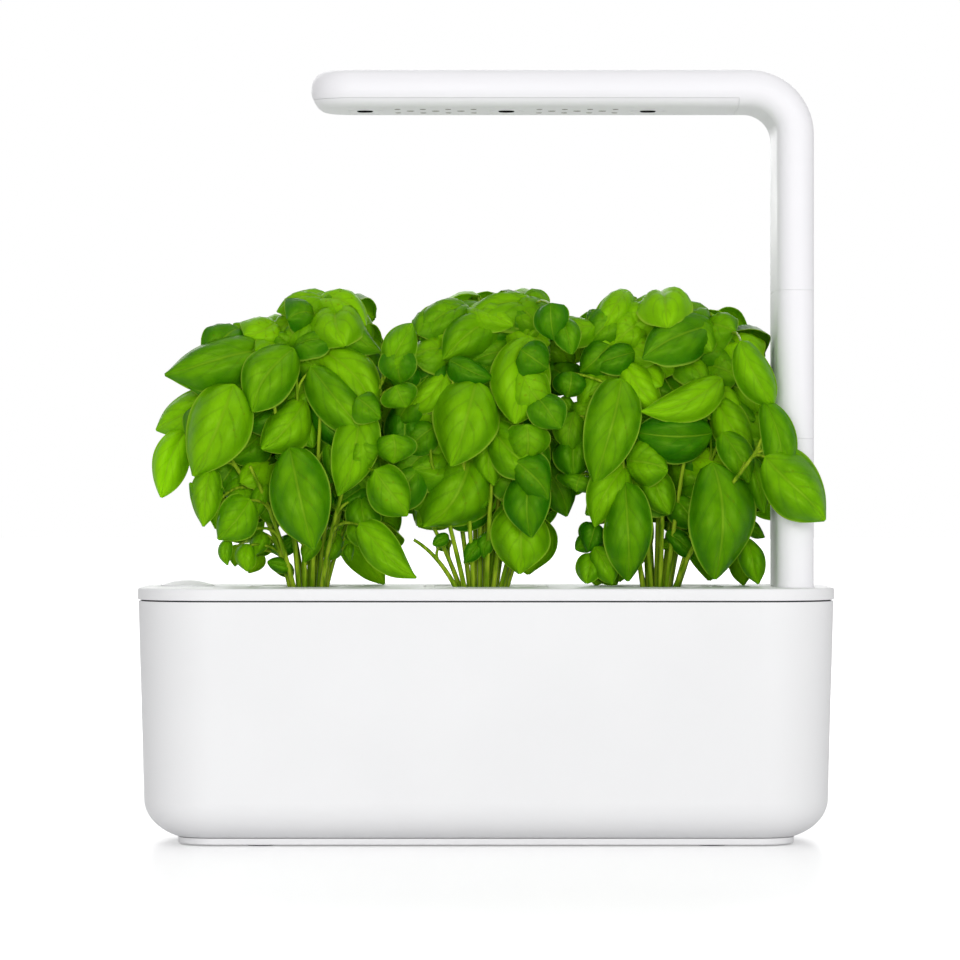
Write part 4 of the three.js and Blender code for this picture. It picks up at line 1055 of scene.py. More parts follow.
def make_housing():
    housing = whole_bar(0, upper_seam, hair_round)
    combine(housing, whole_bar(arm_wall, upper_seam + arm_wall), "DIFFERENCE")
    plug = lofted("plug", tongue_rings(upper_seam) + [
        bar_ring(tongue_inset, upper_seam + arm_wall),
        bar_ring(tongue_inside, upper_seam + arm_wall),
        bar_ring(tongue_inside, upper_seam - tongue_length),
    ], joined=True)
    bore = [bar_ring(tongue_inset + slide, z) for z in (upper_seam - cut, upper_seam + 2 * arm_wall)]
    combine(housing, lofted("bore", bore), "DIFFERENCE")
    combine(housing, plug, "UNION")
    room = block(tip_x - cut, cover_end, -bar_depth, bar_depth, head_bottom - cut, cover_seam)
    combine(housing, room, "DIFFERENCE")
    return finished(housing, "lamp_shell", lamp_casing, "lamp", "lamp_housing", slot="lamp_casing")


def make_cover():
    cover = whole_bar(0, upper_seam)
    end = cover_end - fine_gap
    low = block(tip_x - cut, end, -bar_depth, bar_depth, head_bottom - cut, cover_seam - fine_gap)
    combine(cover, low, "INTERSECT")
    inner = whole_bar(arm_wall, upper_seam)
    inside = block(tip_x - cut, cover_end - seat - arm_wall, -bar_depth, bar_depth, cover_floor, cover_seam)
    combine(inner, inside, "INTERSECT")
    combine(cover, inner, "DIFFERENCE")
    for x in well_x:
        combine(cover, rod(well_radius + tube_wall, cover_floor - arm_wall / 2, well_top, x), "UNION")
        groove = [
            (ring_radius - 2 * ring_depth, head_bottom - cut),
            (ring_radius + ring_depth, head_bottom - cut),
            (ring_radius, head_bottom + ring_depth),
            (ring_radius - ring_depth, head_bottom + ring_depth),
            (ring_radius - 2 * ring_depth, head_bottom - cut),
        ]
        combine(cover, turned("ring", groove, x), "DIFFERENCE")
        well = rod(well_radius, head_bottom - cut, head_bottom + well_depth, x, sides=round_sides)
        combine(cover, well, "DIFFERENCE")
        combine(cover, rod(screw_shank + seat, head_bottom, well_top + cut, x), "DIFFERENCE")
    for x, y, radius in led_spots:
        combine(cover, rod(radius, head_bottom - cut, cover_floor + cut, x, y), "DIFFERENCE")
    return finished(cover, "lamp_underside", lamp_casing, "lamp", "lamp_cover", slot="lamp_casing")


def crossed_screw(head_radius, high, shank_long):
    """A pan-head screw that stands on its head at the origin, with a cross in the head."""
    round_off = screw_head_high / 3
    screw = turned("screw", [
        (0, 0),
        (head_radius - round_off, 0),
        (head_radius - round_off / 3, round_off / 3),
        (head_radius, round_off),
        (head_radius, high),
        (screw_shank, high),
        (screw_shank, high + shank_long - screw_shank),
        (0, high + shank_long),
    ], sides=small_sides * 2)
    long = head_radius * cross_long_share
    slim = head_radius * cross_slim_share
    for half_x, half_y in ((long, slim), (slim, long)):
        combine(screw, block(-half_x, half_x, -half_y, half_y, -cut, screw_head_high / 2), "DIFFERENCE")
    screw.data.set_sharp_from_angle(angle=sharp_on_screws)
    return screw


def stood(name, piece, places, finish, body, slot_name, *replaced):
    """One piece stood at every place, as one mesh."""
    made = grown(name, shape(name, places, []), standing_tree, body, slot_name, Piece=piece, Finish=finish)
    bpy.data.objects.remove(piece)
    if replaced:
        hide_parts(*replaced)
    return made


def make_screws():
    base_long = shell_floor + screw_reach - plate_low.z - screw_head_high
    base_places = [(x, y, plate_low.z) for x, y in boss_spots]
    base_nodes = [f"base_screw_{number}" for number in (1, 2, 3, 4)]
    base_screw = crossed_screw(screw_head, screw_head_high, base_long)
    stood("plate_screws", base_screw, base_places, steel, "base", "steel", *base_nodes)
    head_base = head_bottom - head_proud
    head_high = well_depth - seat + head_proud
    lamp_long = well_top + screw_reach - seat - head_base - head_high
    lamp_nodes = [f"lamp_screw_{number}" for number in (1, 2, 3)]
    lamp_screw = crossed_screw(well_radius - fine_gap, head_high, lamp_long)
    lamp_places = [(x, 0, head_base) for x in well_x]
    stood("well_screws", lamp_screw, lamp_places, black_oxide, "lamp", "black_steel", *lamp_nodes)


def make_lenses():
    """Low domes of silicone in the holes of the cover."""
    for name, radius in (("pair_lenses", pair_lens), ("single_lenses", single_lens)):
        reach = radius - lens_gap
        turns = rising(0, math.pi / 2, edge_steps)[1:]
        outline = [(0, -lens_proud)]
        outline += [(reach * math.sin(turn), -lens_proud * math.cos(turn)) for turn in turns]
        outline += [(reach, lens_depth), (0, lens_depth)]
        places = [(x, y, head_bottom) for x, y, size in led_spots if size == radius]
        stood(name, turned("lens", outline, sides=small_sides), places, lens_dull, "lamp", "board")


make_upper_arm()
make_lower_arm()
make_housing()
make_cover()
make_screws()
make_lenses()


# Lid, with its openings, the filling recess and the slot for the mast
deck_inset = shell_step + rim_wall + seat
skirt_bottom = lid_low.z
hole_half = flange_half + seat
hole_corner = cup_corner + seat
ledge_top = lid_top - flange_thick - seat


def flared(ring_at, low, high, flare=edge_round):
    """A cutter that widens at the top, so that the edge it leaves is rounded."""
    return lofted("cutter", [
        ring_at(0, low),
        ring_at(0, high - flare),
        ring_at(flare * (1 - math.cos(math.pi / 6)), high - flare / 2),
        ring_at(flare / 2, high - flare * (1 - math.cos(math.pi / 6))),
        ring_at(flare, high),
        ring_at(flare, high + cut),
    ])


def make_lid():
    outside = [
        lid_ring(deck_inset, skirt_bottom),
        lid_ring(deck_inset, lid_bottom),
        lid_ring(lid_edge / 2, lid_bottom),
        lid_ring(lid_edge / 6, lid_bottom + lid_edge / 6),
        lid_ring(0, lid_bottom + lid_edge / 2),
        lid_ring(0, lid_top - lid_edge - lid_height / 3),
    ]
    outside += [lid_ring(draw, lid_top - drop) for drop, draw in quarter_round(lid_edge, edge_steps)]
    outside.append(lid_ring(2 * lid_edge, lid_top))
    lid = lofted("lid", outside)
    room = [lid_ring(deck_inset + rib_wall, z) for z in (skirt_bottom - cut, lid_top - lid_wall)]
    combine(lid, lofted("room", room), "DIFFERENCE")
    under = lid_top - lid_wall / 2
    for x in pod_x:
        def ring(grow, z):
            return square_ring(hole_half + grow, hole_corner + grow, z, x)

        combine(lid, lofted("collar", [ring(rib_wall, ledge_top - rib_wall), ring(rib_wall, under)]), "UNION")
        combine(lid, flared(ring, ledge_top, lid_top), "DIFFERENCE")
        hole = [ring(-cup_ledge, z) for z in (ledge_top - rib_wall - cut, ledge_top + cut)]
        combine(lid, lofted("hole", hole), "DIFFERENCE")
    pan_bottom = lid_top - recess_depth - lid_wall
    combine(lid, rod(recess_radius + rib_wall, pan_bottom, under, float_x, sides=round_sides), "UNION")
    pan = lid_top - recess_depth
    dish = [(0, pan)]
    dish += [(recess_radius - draw, pan + rise) for draw, rise in quarter_round(recess_depth / 2, edge_steps)]
    dish += [
        (recess_radius, lid_top - edge_round),
        (recess_radius + edge_round / 3, lid_top - edge_round / 3),
        (recess_radius + edge_round, lid_top),
        (recess_radius + edge_round, lid_top + cut),
        (0, lid_top + cut),
    ]
    combine(lid, turned("dish", dish, float_x), "DIFFERENCE")
    combine(lid, rod(stem_radius + slide, pan_bottom - cut, lid_top, float_x), "DIFFERENCE")
    for k in range(fill_count):
        turn = (k + 1 / 2) * math.tau / fill_count
        x = float_x + fill_ring * math.cos(turn)
        combine(lid, rod(fill_hole, pan_bottom - cut, lid_top, x, fill_ring * math.sin(turn)), "DIFFERENCE")

    def around_mast(grow, z):
        return bar_ring(-slide - grow, z)

    collar = lofted("collar", [around_mast(rib_wall, lid_bottom), around_mast(rib_wall, under)])
    combine(lid, collar, "UNION")
    combine(lid, flared(around_mast, lid_bottom - cut, lid_top), "DIFFERENCE")
    return finished(lid, "tub_lid", casing, "lid_body", "lid", slot="casing")


def make_cap():
    rim = lid_top + cap_rim
    foot = cap_low.z
    edge = cap_dome / 4
    bore = stem_radius + seat
    outline = [(bore, foot), (cap_radius - edge, foot), (cap_radius, foot + edge), (cap_radius, rim)]
    for k in range(1, cap_steps):
        share = 1 - k / cap_steps
        outline.append((cap_radius * share, rim + (cap_high.z - rim) * (1 - share ** 2)))
    outline += [(0, cap_high.z), (0, rim), (bore, rim), (bore, foot)]
    cap = turned("cap", outline, float_x)
    return finished(cap, "float_dome", casing, "float", "float_cap", slot="casing")


def make_seam_shade():
    """A near-black ring in the seam, between the skirt of the lid and the rim of the tub: painted shade that
    makes the gap read dark.
    """
    outer = deck_inset - seat + fine_gap / 2
    inner = deck_inset - fine_gap / 2
    foot = shell_top - rim_depth / 2
    head = lid_bottom - fine_gap / 2
    section = ((outer, foot), (outer, head), (inner, head), (inner, foot))
    seal = lofted("seal", [lid_ring(inset, z) for inset, z in section], joined=True)
    return finished(seal, "lid_seal", seam_shade_black, "lid_body", slot="rubber")


make_lid()
# The ring of painted shade in the seam
make_seam_shade()
make_cap()


# Pods
def cup_half(z):
    """Half the basket's width at height z."""
    neck = lid_top - flange_thick
    bottom = lid_top - cup_depth
    return cup_foot + (cup_neck - cup_foot) * (z - bottom) / (neck - bottom)


def make_basket(number):
    x = pod_x[number - 1]
    bottom = lid_top - cup_depth
    neck = lid_top - flange_thick
    floor = bottom + cup_wall
    edge = flange_thick / 4

    def ring(half, corner, z):
        return square_ring(half, corner, z, x)

    rings = [
        ring(cup_half(bottom) - edge, cup_neck_corner - edge, bottom),
        ring(cup_half(bottom), cup_neck_corner, bottom + edge),
        ring(cup_neck, cup_neck_corner, neck),
        ring(flange_half, cup_corner, neck),
        ring(flange_half, cup_corner, lid_top - edge),
        ring(flange_half - edge / 3, cup_corner - edge / 3, lid_top - edge / 3),
        ring(flange_half - edge, cup_corner - edge, lid_top),
        ring(cup_neck - cup_wall + edge, cup_neck_corner - cup_wall + edge, lid_top),
        ring(cup_neck - cup_wall, cup_neck_corner - cup_wall, lid_top - edge),
        ring(cup_half(floor) - cup_wall, cup_neck_corner - cup_wall, floor),
    ]
    basket = lofted("basket", rings)
    low = floor + 2 * cup_wall
    high = (bottom + neck) / 2
    half = cup_foot / 3
    combine(basket, block(x - flange_half * 2, x + flange_half * 2, -half, half, low, high), "DIFFERENCE")
    combine(basket, block(x - half, x + half, -flange_half * 2, flange_half * 2, low, high), "DIFFERENCE")
    combine(basket, rod(wick_radius + seat, bottom - cut, floor + cut, x), "DIFFERENCE")
    body = f"pod_{number}"
    return finished(basket, f"pod_cup_{number}", pod_plastic, body, f"pod_basket_{number}", slot="liner")


def make_paper_disc(number):
    """A paper disc in the mouth of a pod, with a round hole for the stalks."""
    half = cup_neck - cup_wall - disc_gap
    corner = cup_neck_corner - cup_wall - disc_gap
    top = lid_top - disc_sunk
    x = pod_x[number - 1]
    disc = lofted("disc", [square_ring(half, corner, z, x) for z in (top - disc_thick, top)])
    combine(disc, rod(disc_hole, top - disc_thick - cut, top + cut, x, sides=round_sides), "DIFFERENCE")
    return finished(disc, f"pod_paper_{number}", pod_plastic, f"pod_{number}", slot="liner")


wick_low, wick_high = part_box("wick_1")
wick_radius = (wick_high.x - wick_low.x) / 2
for number in (1, 2, 3):
    make_basket(number)
    make_paper_disc(number)

# Basil: stalks as curves, blades as thin quilted sheets

# Each stalk: its foot across and in depth, its elbow across and up, its top across, up and in depth
stalk_shares = [
    [
        [-0.19, -0.02, -0.34, 0.26, -1.12, 0.56, -0.25],
        [-0.16, 0.04, -0.32, 0.2, -0.7, 0.42, -0.1],
        [-0.15, -0.07, -0.28, 0.18, -0.6, 0.4, -0.3],
        [-0.12, 0.03, -0.22, 0.4, -0.5, 0.84, 0.05],
        [-0.11, -0.05, -0.18, 0.25, -0.36, 0.6, -0.3],
        [-0.08, 0.08, -0.2, 0.35, -0.75, 0.7, 0.35],
        [-0.06, -0.08, -0.08, 0.3, -0.15, 0.75, -0.3],
        [-0.03, 0, 0.02, 0.5, 0.14, 0.92, 0],
        [0.0, -0.06, 0.04, 0.25, 0.1, 0.58, -0.3],
        [0.03, 0.07, 0.08, 0.4, 0.3, 0.78, 0.3],
        [0.06, -0.02, 0.14, 0.3, 0.4, 0.7, -0.1],
        [0.09, -0.08, 0.18, 0.2, 0.42, 0.42, -0.35],
        [0.1, 0, 0.24, 0.25, 0.6, 0.6, -0.2],
        [0.12, 0.04, 0.22, 0.12, 0.46, 0.3, 0],
    ],
    [
        [-0.24, -0.03, -0.44, 0.1, -0.72, 0.155, -0.1],
        [-0.22, 0.02, -0.38, 0.12, -0.6, 0.24, -0.1],
        [-0.19, -0.06, -0.34, 0.2, -0.55, 0.42, -0.25],
        [-0.15, 0.03, -0.28, 0.35, -0.55, 0.8, 0],
        [-0.12, -0.06, -0.16, 0.3, -0.3, 0.6, -0.35],
        [-0.09, 0.08, -0.12, 0.35, -0.15, 0.7, 0.35],
        [-0.06, -0.02, -0.06, 0.45, -0.05, 0.88, 0.05],
        [-0.03, 0.05, 0, 0.4, 0.05, 0.8, 0.15],
        [0, -0.08, 0.04, 0.3, 0.1, 0.6, -0.35],
        [0.03, 0, 0.14, 0.45, 0.45, 0.94, 0],
        [0.06, -0.06, 0.16, 0.26, 0.4, 0.62, -0.3],
        [0.09, 0.04, 0.2, 0.3, 0.6, 0.7, 0.2],
        [0.12, -0.05, 0.26, 0.16, 0.52, 0.42, -0.2],
        [0.15, 0, 0.28, 0.14, 0.5, 0.34, -0.1],
        [0.17, 0.03, 0.3, 0.1, 0.5, 0.26, 0.1],
    ],
    [
        [-0.16, -0.05, -0.26, 0.2, -0.4, 0.45, -0.3],
        [-0.14, 0.03, -0.24, 0.16, -0.5, 0.36, -0.1],
        [-0.12, 0.02, -0.16, 0.4, -0.35, 0.86, 0.1],
        [-0.09, -0.06, -0.14, 0.25, -0.3, 0.6, -0.3],
        [-0.07, 0.08, -0.1, 0.35, -0.3, 0.7, 0.35],
        [-0.04, 0, -0.02, 0.45, 0.08, 0.95, 0],
        [-0.01, -0.07, 0.02, 0.25, 0.02, 0.5, -0.3],
        [0.02, 0.04, 0.14, 0.4, 0.4, 0.8, 0.1],
        [0.04, -0.05, 0.16, 0.3, 0.32, 0.6, -0.3],
        [0.06, 0.02, 0.24, 0.32, 0.68, 0.84, 0],
        [0.08, 0.07, 0.24, 0.3, 0.6, 0.6, 0.35],
        [0.1, -0.07, 0.34, 0.2, 0.95, 0.46, -0.72],
        [0.12, 0, 0.28, 0.14, 0.5, 0.42, -0.2],
        [0.13, 0.03, 0.3, 0.1, 0.45, 0.3, 0],
    ],
]

# Each leaf: base across, up and in depth, tip across, up and in depth, width, how far it faces forward, tone;
# the tone holds painted backlight, brightest on leaves at the back
leaf_shares = [
    [
        [0.15, 0.95, 0.05, -0.35, 0.935, 0, 0.3, 0.3, 0.45],
        [0.2, 0.92, 0.1, -0.25, 0.9, 0.15, 0.28, 0.7, 0.5],
        [0.26, 0.93, 0, 0.31, 0.8, -0.35, 0.64, 0.55, 0.5],
        [0.2, 0.96, 0.1, 0.64, 0.82, 0, 0.36, 0.6, 0.4],
        [0.12, 0.95, 0, 0.22, 0.97, 0, 0.09, 0.5, 0.3],
        [0, 0.86, 0.15, -0.58, 0.845, 0.1, 0.32, 0.6, 0.45],
        [-0.62, 0.84, 0, -0.78, 0.875, 0, 0.15, 0.6, 0.3],
        [-0.6, 0.84, 0, -0.57, 0.895, 0, 0.07, 0.6, 0.25],
        [-0.44, 0.79, -0.1, -1.38, 0.695, -0.35, 0.56, 0.75, 0.3],
        [-0.9, 0.63, 0.05, -1.57, 0.54, 0, 0.42, 0.85, 0.5],
        [-0.76, 0.67, -0.35, -1.1, 0.37, -0.5, 0.64, 0.95, 0.5],
        [-1.23, 0.53, 0, -1.47, 0.295, -0.1, 0.36, 0.9, 0.7],
        [-0.98, 0.39, -0.38, -1.02, 0.2, -0.42, 0.3, 0.95, 0.5],
        [-0.88, 0.29, -0.38, -1.2, 0.33, -0.42, 0.3, 0.95, 0.35],
        [-0.5, 0.45, 0.1, -0.86, 0.29, 0, 0.5, 0.9, 0.15],
        [-0.6, 0.29, -0.4, -0.9, 0.16, -0.48, 0.42, 0.95, 0.35],
        [-0.82, 0.155, -0.4, -0.85, 0.075, -0.42, 0.13, 0.95, 0.4],
        [-0.62, 0.14, -0.2, -0.66, 0.055, -0.25, 0.21, 0.95, 0.5],
        [-0.48, 0.18, -0.1, -0.56, 0.11, -0.15, 0.18, 0.9, 0.35],
        [-0.46, 0.34, -0.2, -0.54, 0.22, -0.25, 0.19, 0.95, 0.35],
        [-0.4, 0.36, 0, -0.46, 0.26, 0, 0.16, 0.9, 0.2],
        [-0.16, 0.16, 0, -0.39, 0.11, 0.05, 0.19, 0.9, 0.1],
        [-0.2, 0.06, -0.1, -0.43, 0.08, -0.15, 0.15, 0.9, 0.2],
        [-0.2, 0.46, -0.4, 0.01, 0.13, -0.6, 0.6, 1, 0.3],
        [-0.17, 0.79, -0.25, -0.63, 0.6, -0.45, 0.54, 0.85, 0.4],
        [-0.06, 0.62, -0.2, -0.42, 0.445, -0.4, 0.46, 0.9, 0.45],
        [0, 0.73, -0.25, 0.57, 0.49, -0.5, 0.44, 0.85, 0.35],
        [0.1, 0.79, -0.1, 0.75, 0.58, -0.35, 0.5, 0.8, 0.5],
        [-0.19, 0.79, -0.15, 0.22, 0.82, -0.25, 0.3, 0.5, 0.2],
        [-0.19, 0.79, -0.1, -0.38, 0.84, -0.15, 0.24, 0.5, 0.25],
        [0, 0.63, -0.1, 0.43, 0.45, -0.3, 0.36, 0.9, 0.05],
        [0.18, 0.47, -0.3, 0.22, 0.35, -0.35, 0.16, 0.95, 0.3],
        [0.26, 0.47, 0.2, 0.43, 0.41, 0.2, 0.17, 0.9, 1],
        [0.62, 0.6, -0.35, 0.5, 0.305, -0.5, 0.46, 1, 0.4],
        [0.84, 0.36, -0.1, 0.43, 0.26, -0.2, 0.32, 0.9, 0.1],
        [0.74, 0.3, -0.2, 0.84, 0.17, -0.3, 0.34, 0.95, 0.3],
        [0.78, 0.23, -0.2, 0.86, 0.13, -0.3, 0.32, 0.9, 0.45],
        [0.56, 0.21, -0.45, 1.04, 0.012, -0.6, 0.36, 0.9, 0.4],
        [0.38, 0.27, 0, 0.43, 0.19, 0, 0.1, 0.9, 0.4],
        [0.38, 0.14, -0.05, 0.38, 0.085, -0.05, 0.1, 0.9, 0.35],
        [0.34, 0.165, 0, 0.49, 0.16, 0, 0.08, 0.8, 0.3],
        [0.08, 0.16, -0.1, -0.09, 0.09, -0.15, 0.17, 0.9, 0.35],
        [0.28, 0.17, 0, 0.16, 0.085, -0.05, 0.21, 0.9, 0.4],
        [-0.48, 0.69, 0.2, -0.6, 0.52, 0.2, 0.28, 0.95, 1],
        [-0.48, 0.57, 0.1, -0.69, 0.465, 0.1, 0.22, 0.9, 0.05],
        [0.05, 0.78, 0, 0.43, 0.7, -0.05, 0.22, 0.8, 0.1],
        [-0.38, 0.44, 0.3, -0.56, 0.35, 0.3, 0.22, 0.9, 1],
        [0.8, 0.71, -0.5, 1.06, 0.865, -0.5, 0.34, 0.9, 0.45],
    ],
    [
        [-0.2, 0.94, 0.05, -0.67, 0.85, -0.2, 0.42, 0.6, 0.35],
        [-0.62, 0.85, 0.1, -0.93, 0.88, 0.1, 0.26, 0.8, 0.55],
        [-0.22, 0.89, 0.15, -0.7, 0.765, 0.15, 0.34, 0.9, 0.95],
        [0.14, 0.89, -0.05, -0.4, 0.755, -0.3, 0.48, 0.8, 0.3],
        [0.84, 0.91, 0, -0.08, 0.9, -0.15, 0.5, 0.45, 0.35],
        [0.18, 0.88, 0.1, 0.43, 0.79, 0.1, 0.26, 0.9, 0.1],
        [0.26, 0.83, 0.3, -0.02, 0.73, 0.3, 0.26, 0.95, 1],
        [0.72, 0.92, -0.1, 0.48, 0.82, -0.2, 0.26, 0.8, 0.4],
        [0.84, 0.89, -0.42, 0.92, 0.775, -0.55, 0.27, 0.9, 0.25],
        [0.64, 0.83, -0.3, 0.57, 0.54, -0.5, 0.6, 0.95, 0.45],
        [0.1, 0.75, -0.15, 0.07, 0.615, -0.2, 0.22, 0.9, 0.35],
        [-0.36, 0.73, -0.2, -0.78, 0.57, -0.27, 0.32, 0.85, 0.5],
        [-0.48, 0.74, -0.1, -0.97, 0.63, -0.1, 0.36, 0.85, 0.4],
        [-0.36, 0.75, -0.3, 0.03, 0.68, -0.4, 0.3, 0.7, 0.1],
        [-0.1, 0.68, -0.38, -0.28, 0.41, -0.58, 0.66, 1, 0.45],
        [0.03, 0.66, -0.1, 0.26, 0.52, 0, 0.26, 0.9, 0.05],
        [0.56, 0.56, 0.2, 0.13, 0.545, 0.2, 0.24, 0.9, 0.95],
        [0.1, 0.54, -0.3, 0.61, 0.36, -0.5, 0.44, 0.9, 0.3],
        [-0.14, 0.46, -0.12, -0.5, 0.19, -0.26, 0.72, 1, 0.3],
        [0.06, 0.49, -0.25, 0.02, 0.34, -0.3, 0.32, 0.95, 0.4],
        [0.02, 0.25, 0, -0.38, 0.2, -0.1, 0.24, 0.8, 0.1],
        [0.55, 0.38, -0.35, 0.5, 0.175, -0.5, 0.46, 1, 0.15],
        [0.6, 0.27, -0.2, 0.66, 0.05, -0.35, 0.58, 0.95, 0.5],
        [0.32, 0.28, -0.1, 0.08, 0.17, -0.15, 0.3, 0.9, 0.25],
        [0.36, 0.2, 0, 0.2, 0.09, -0.05, 0.26, 0.9, 0.3],
        [-0.06, 0.15, -0.1, -0.22, 0.085, -0.15, 0.17, 0.9, 0.15],
        [0.05, 0.18, -0.1, -0.04, 0.1, -0.15, 0.18, 0.9, 0.1],
        [-0.38, 0.17, -0.1, -0.53, 0.14, -0.15, 0.12, 0.9, 0.15],
        [-0.75, 0.63, -0.1, -0.8, 0.415, -0.2, 0.42, 0.95, 0.1],
        [-0.5, 0.5, 0, -0.78, 0.4, 0, 0.3, 0.9, 0.2],
        [0.16, 0.9, -0.1, 0.3, 0.83, -0.15, 0.2, 0.8, 0.3],
        [-0.5, 0.87, -0.1, -0.3, 0.79, -0.15, 0.22, 0.9, 0.5],
    ],
    [
        [-0.23, 0.93, 0.1, -0.66, 0.875, 0.15, 0.3, 0.85, 0.75],
        [0, 0.98, 0.05, 0, 0.885, -0.4, 0.56, 0.5, 0.55],
        [0.16, 0.96, 0.1, 0.31, 0.92, 0.1, 0.2, 0.7, 0.45],
        [0.3, 0.92, 0.1, 0.88, 0.78, 0.1, 0.26, 0.5, 0.5],
        [0.52, 0.87, -0.1, -0.21, 0.77, -0.38, 0.54, 0.75, 0.2],
        [0.82, 0.81, -0.68, 1.17, 0.6, -0.76, 0.36, 0.95, 0.35],
        [0.7, 0.8, 0, 1.0, 0.62, 0, 0.24, 0.8, 0.2],
        [0.66, 0.68, 0.1, 0.98, 0.49, 0.05, 0.44, 0.95, 0.95],
        [1.0, 0.61, -0.7, 1.18, 0.33, -0.8, 0.34, 0.95, 0.3],
        [0.56, 0.62, -0.2, 0.94, 0.44, -0.3, 0.38, 0.9, 0.45],
        [-0.4, 0.69, -0.3, -0.7, 0.35, -0.5, 0.54, 0.95, 0.28],
        [-0.36, 0.74, -0.2, -0.04, 0.58, -0.3, 0.36, 0.95, 0.6],
        [-0.27, 0.78, -0.2, -0.68, 0.74, -0.25, 0.3, 0.7, 0.1],
        [-0.32, 0.83, 0, -0.14, 0.79, 0, 0.18, 0.8, 0.6],
        [-0.86, 0.92, 0, -0.56, 0.835, -0.1, 0.26, 0.6, 0.1],
        [-0.48, 0.84, 0, -0.72, 0.775, 0, 0.22, 0.9, 0.7],
        [0.6, 0.69, -0.25, -0.14, 0.55, -0.5, 0.38, 0.85, 0.5],
        [0.5, 0.51, -0.25, -0.23, 0.51, -0.45, 0.52, 0.95, 0.1],
        [-0.34, 0.42, -0.3, 0.06, 0.4, -0.4, 0.5, 0.95, 0.4],
        [-0.1, 0.4, -0.2, 0.06, 0.24, -0.3, 0.34, 0.95, 0.35],
        [-0.36, 0.4, -0.25, -0.72, 0.225, -0.4, 0.4, 0.95, 0.4],
        [-0.36, 0.345, -0.35, -0.31, 0.03, -0.5, 0.48, 1, 0.25],
        [-0.7, 0.11, -0.2, -0.76, 0.014, -0.3, 0.25, 0.95, 0.35],
        [-0.66, 0.13, -0.25, -0.48, 0.014, -0.34, 0.27, 0.95, 0.3],
        [-0.66, 0.21, -0.2, -0.74, 0.12, -0.2, 0.28, 0.9, 0.05],
        [-0.68, 0.16, -0.1, -0.84, 0.12, -0.1, 0.18, 0.9, 0.15],
        [0.5, 0.41, -0.42, 0.5, 0.04, -0.62, 0.66, 1, 0.25],
        [0.84, 0.16, -0.2, 0.92, 0.012, -0.3, 0.25, 0.9, 0.25],
        [0.85, 0.22, 0, 1.03, 0.16, 0, 0.13, 0.85, 0.25],
        [1.0, 0.43, -0.8, 1.62, 0.245, -0.92, 0.58, 1, 0.35],
        [1.12, 0.46, -0.76, 1.37, 0.425, -0.78, 0.12, 0.8, 0.3],
        [0.6, 0.51, -0.35, 0.9, 0.36, -0.45, 0.32, 0.9, 0.3],
        [0.84, 0.44, -0.3, 1.0, 0.25, -0.4, 0.22, 0.95, 0.3],
        [0.54, 0.78, 0, 0.79, 0.69, 0, 0.28, 0.9, 0.1],
        [0.5, 0.73, 0.2, 0.64, 0.65, 0.2, 0.2, 0.9, 1],
        [0, 0.73, 0.3, 0.24, 0.68, 0.3, 0.2, 0.9, 1],
        [0.06, 0.18, -0.1, 0.34, 0.1, -0.1, 0.2, 0.9, 0.1],
        [0.22, 0.17, 0, 0.02, 0.13, 0, 0.18, 0.9, 0.35],
        [-0.64, 0.74, -0.1, -0.74, 0.58, -0.2, 0.34, 0.95, 0.4],
        [-0.9, 0.52, -0.1, -0.92, 0.37, -0.25, 0.4, 0.95, 0.15],
        [-0.98, 0.63, -0.1, -0.88, 0.575, -0.1, 0.12, 0.9, 0.25],
        [0.2, 0.6, 0, -0.14, 0.5, 0.05, 0.36, 0.9, 0.3],
        [0.1, 0.3, -0.1, 0.34, 0.2, -0.2, 0.34, 0.9, 0.15],
    ],
]

# The canopy that the inner leaves fill: its heights, and how far it reaches left and right at each
canopy_up_shares = [0.92, 0.85, 0.78, 0.7, 0.62, 0.54, 0.46, 0.38, 0.3]
canopy_shares = [
    [[-0.1, 0.4], [-0.5, 0.5], [-0.95, 0.7], [-1.05, 0.8], [-1.0, 0.9], [-1.1, 0.95], [-1.0, 0.95],
     [-0.85, 0.9], [-0.7, 0.8]],
    [[-0.4, 0.7], [-0.7, 0.8], [-0.9, 0.9], [-0.9, 0.9], [-0.9, 0.9], [-0.9, 0.85], [-0.9, 0.85],
     [-0.85, 0.85], [-0.75, 0.8]],
    [[-0.45, 0.25], [-0.75, 0.65], [-0.85, 0.85], [-0.9, 0.95], [-0.9, 1.0], [-0.9, 1.0], [-0.85, 1.0],
     [-0.8, 0.9], [-0.75, 0.8]],
]

# Where two plants meet, front to back: how deep each band reaches, and how far right its border stands
border_shares = [
    [[-0.38, 0.2], [0, -0.16], [0.38, 0.12], [1, -0.14]],
    [[-0.38, 0.08], [0, -0.22], [0.38, 0.12], [1, -0.14]],
]

# Inner leaves: where they stand, how they run, and how wide, how upright and how bright they are; the back
# layer gets painted backlight
inner_pitch_share = 0.36
inner_layer_shares = [-0.1, 0.14, 0.38]
inner_stray_share = 0.35
inner_near_share = 0.25
inner_run_shares = [0.2, 0.5]
inner_drop_share = 0.13
inner_turn_shares = [0.08, 0.3]
inner_up_share = 0.03
inner_depth_share = 0.06
inner_width_shares = [0.36, 0.5]
inner_facing_shares = [0.4, 0.9]
inner_tone_shares = [0.05, 0.6]
# Brighter tones for the back layer: painted backlight
backlit_tone_shares = [0.3, 0.75]

# Leaves along the borders: the same
edge_up_shares = [[0.72, 0.65, 0.58, 0.5, 0.42, 0.33], [0.86, 0.78, 0.7, 0.61, 0.52, 0.36]]
edge_deep_share = 0.66
edge_turn_share = 0.38
edge_stray_share = 0.35
edge_run_share = 0.4
edge_rise_share = 0.08
edge_drop_shares = [0.02, 0.12]
edge_depth_share = 0.04
edge_width_shares = [0.3, 0.46]
edge_facing_shares = [0.7, 1.0]
edge_tone_shares = [0.1, 0.5]

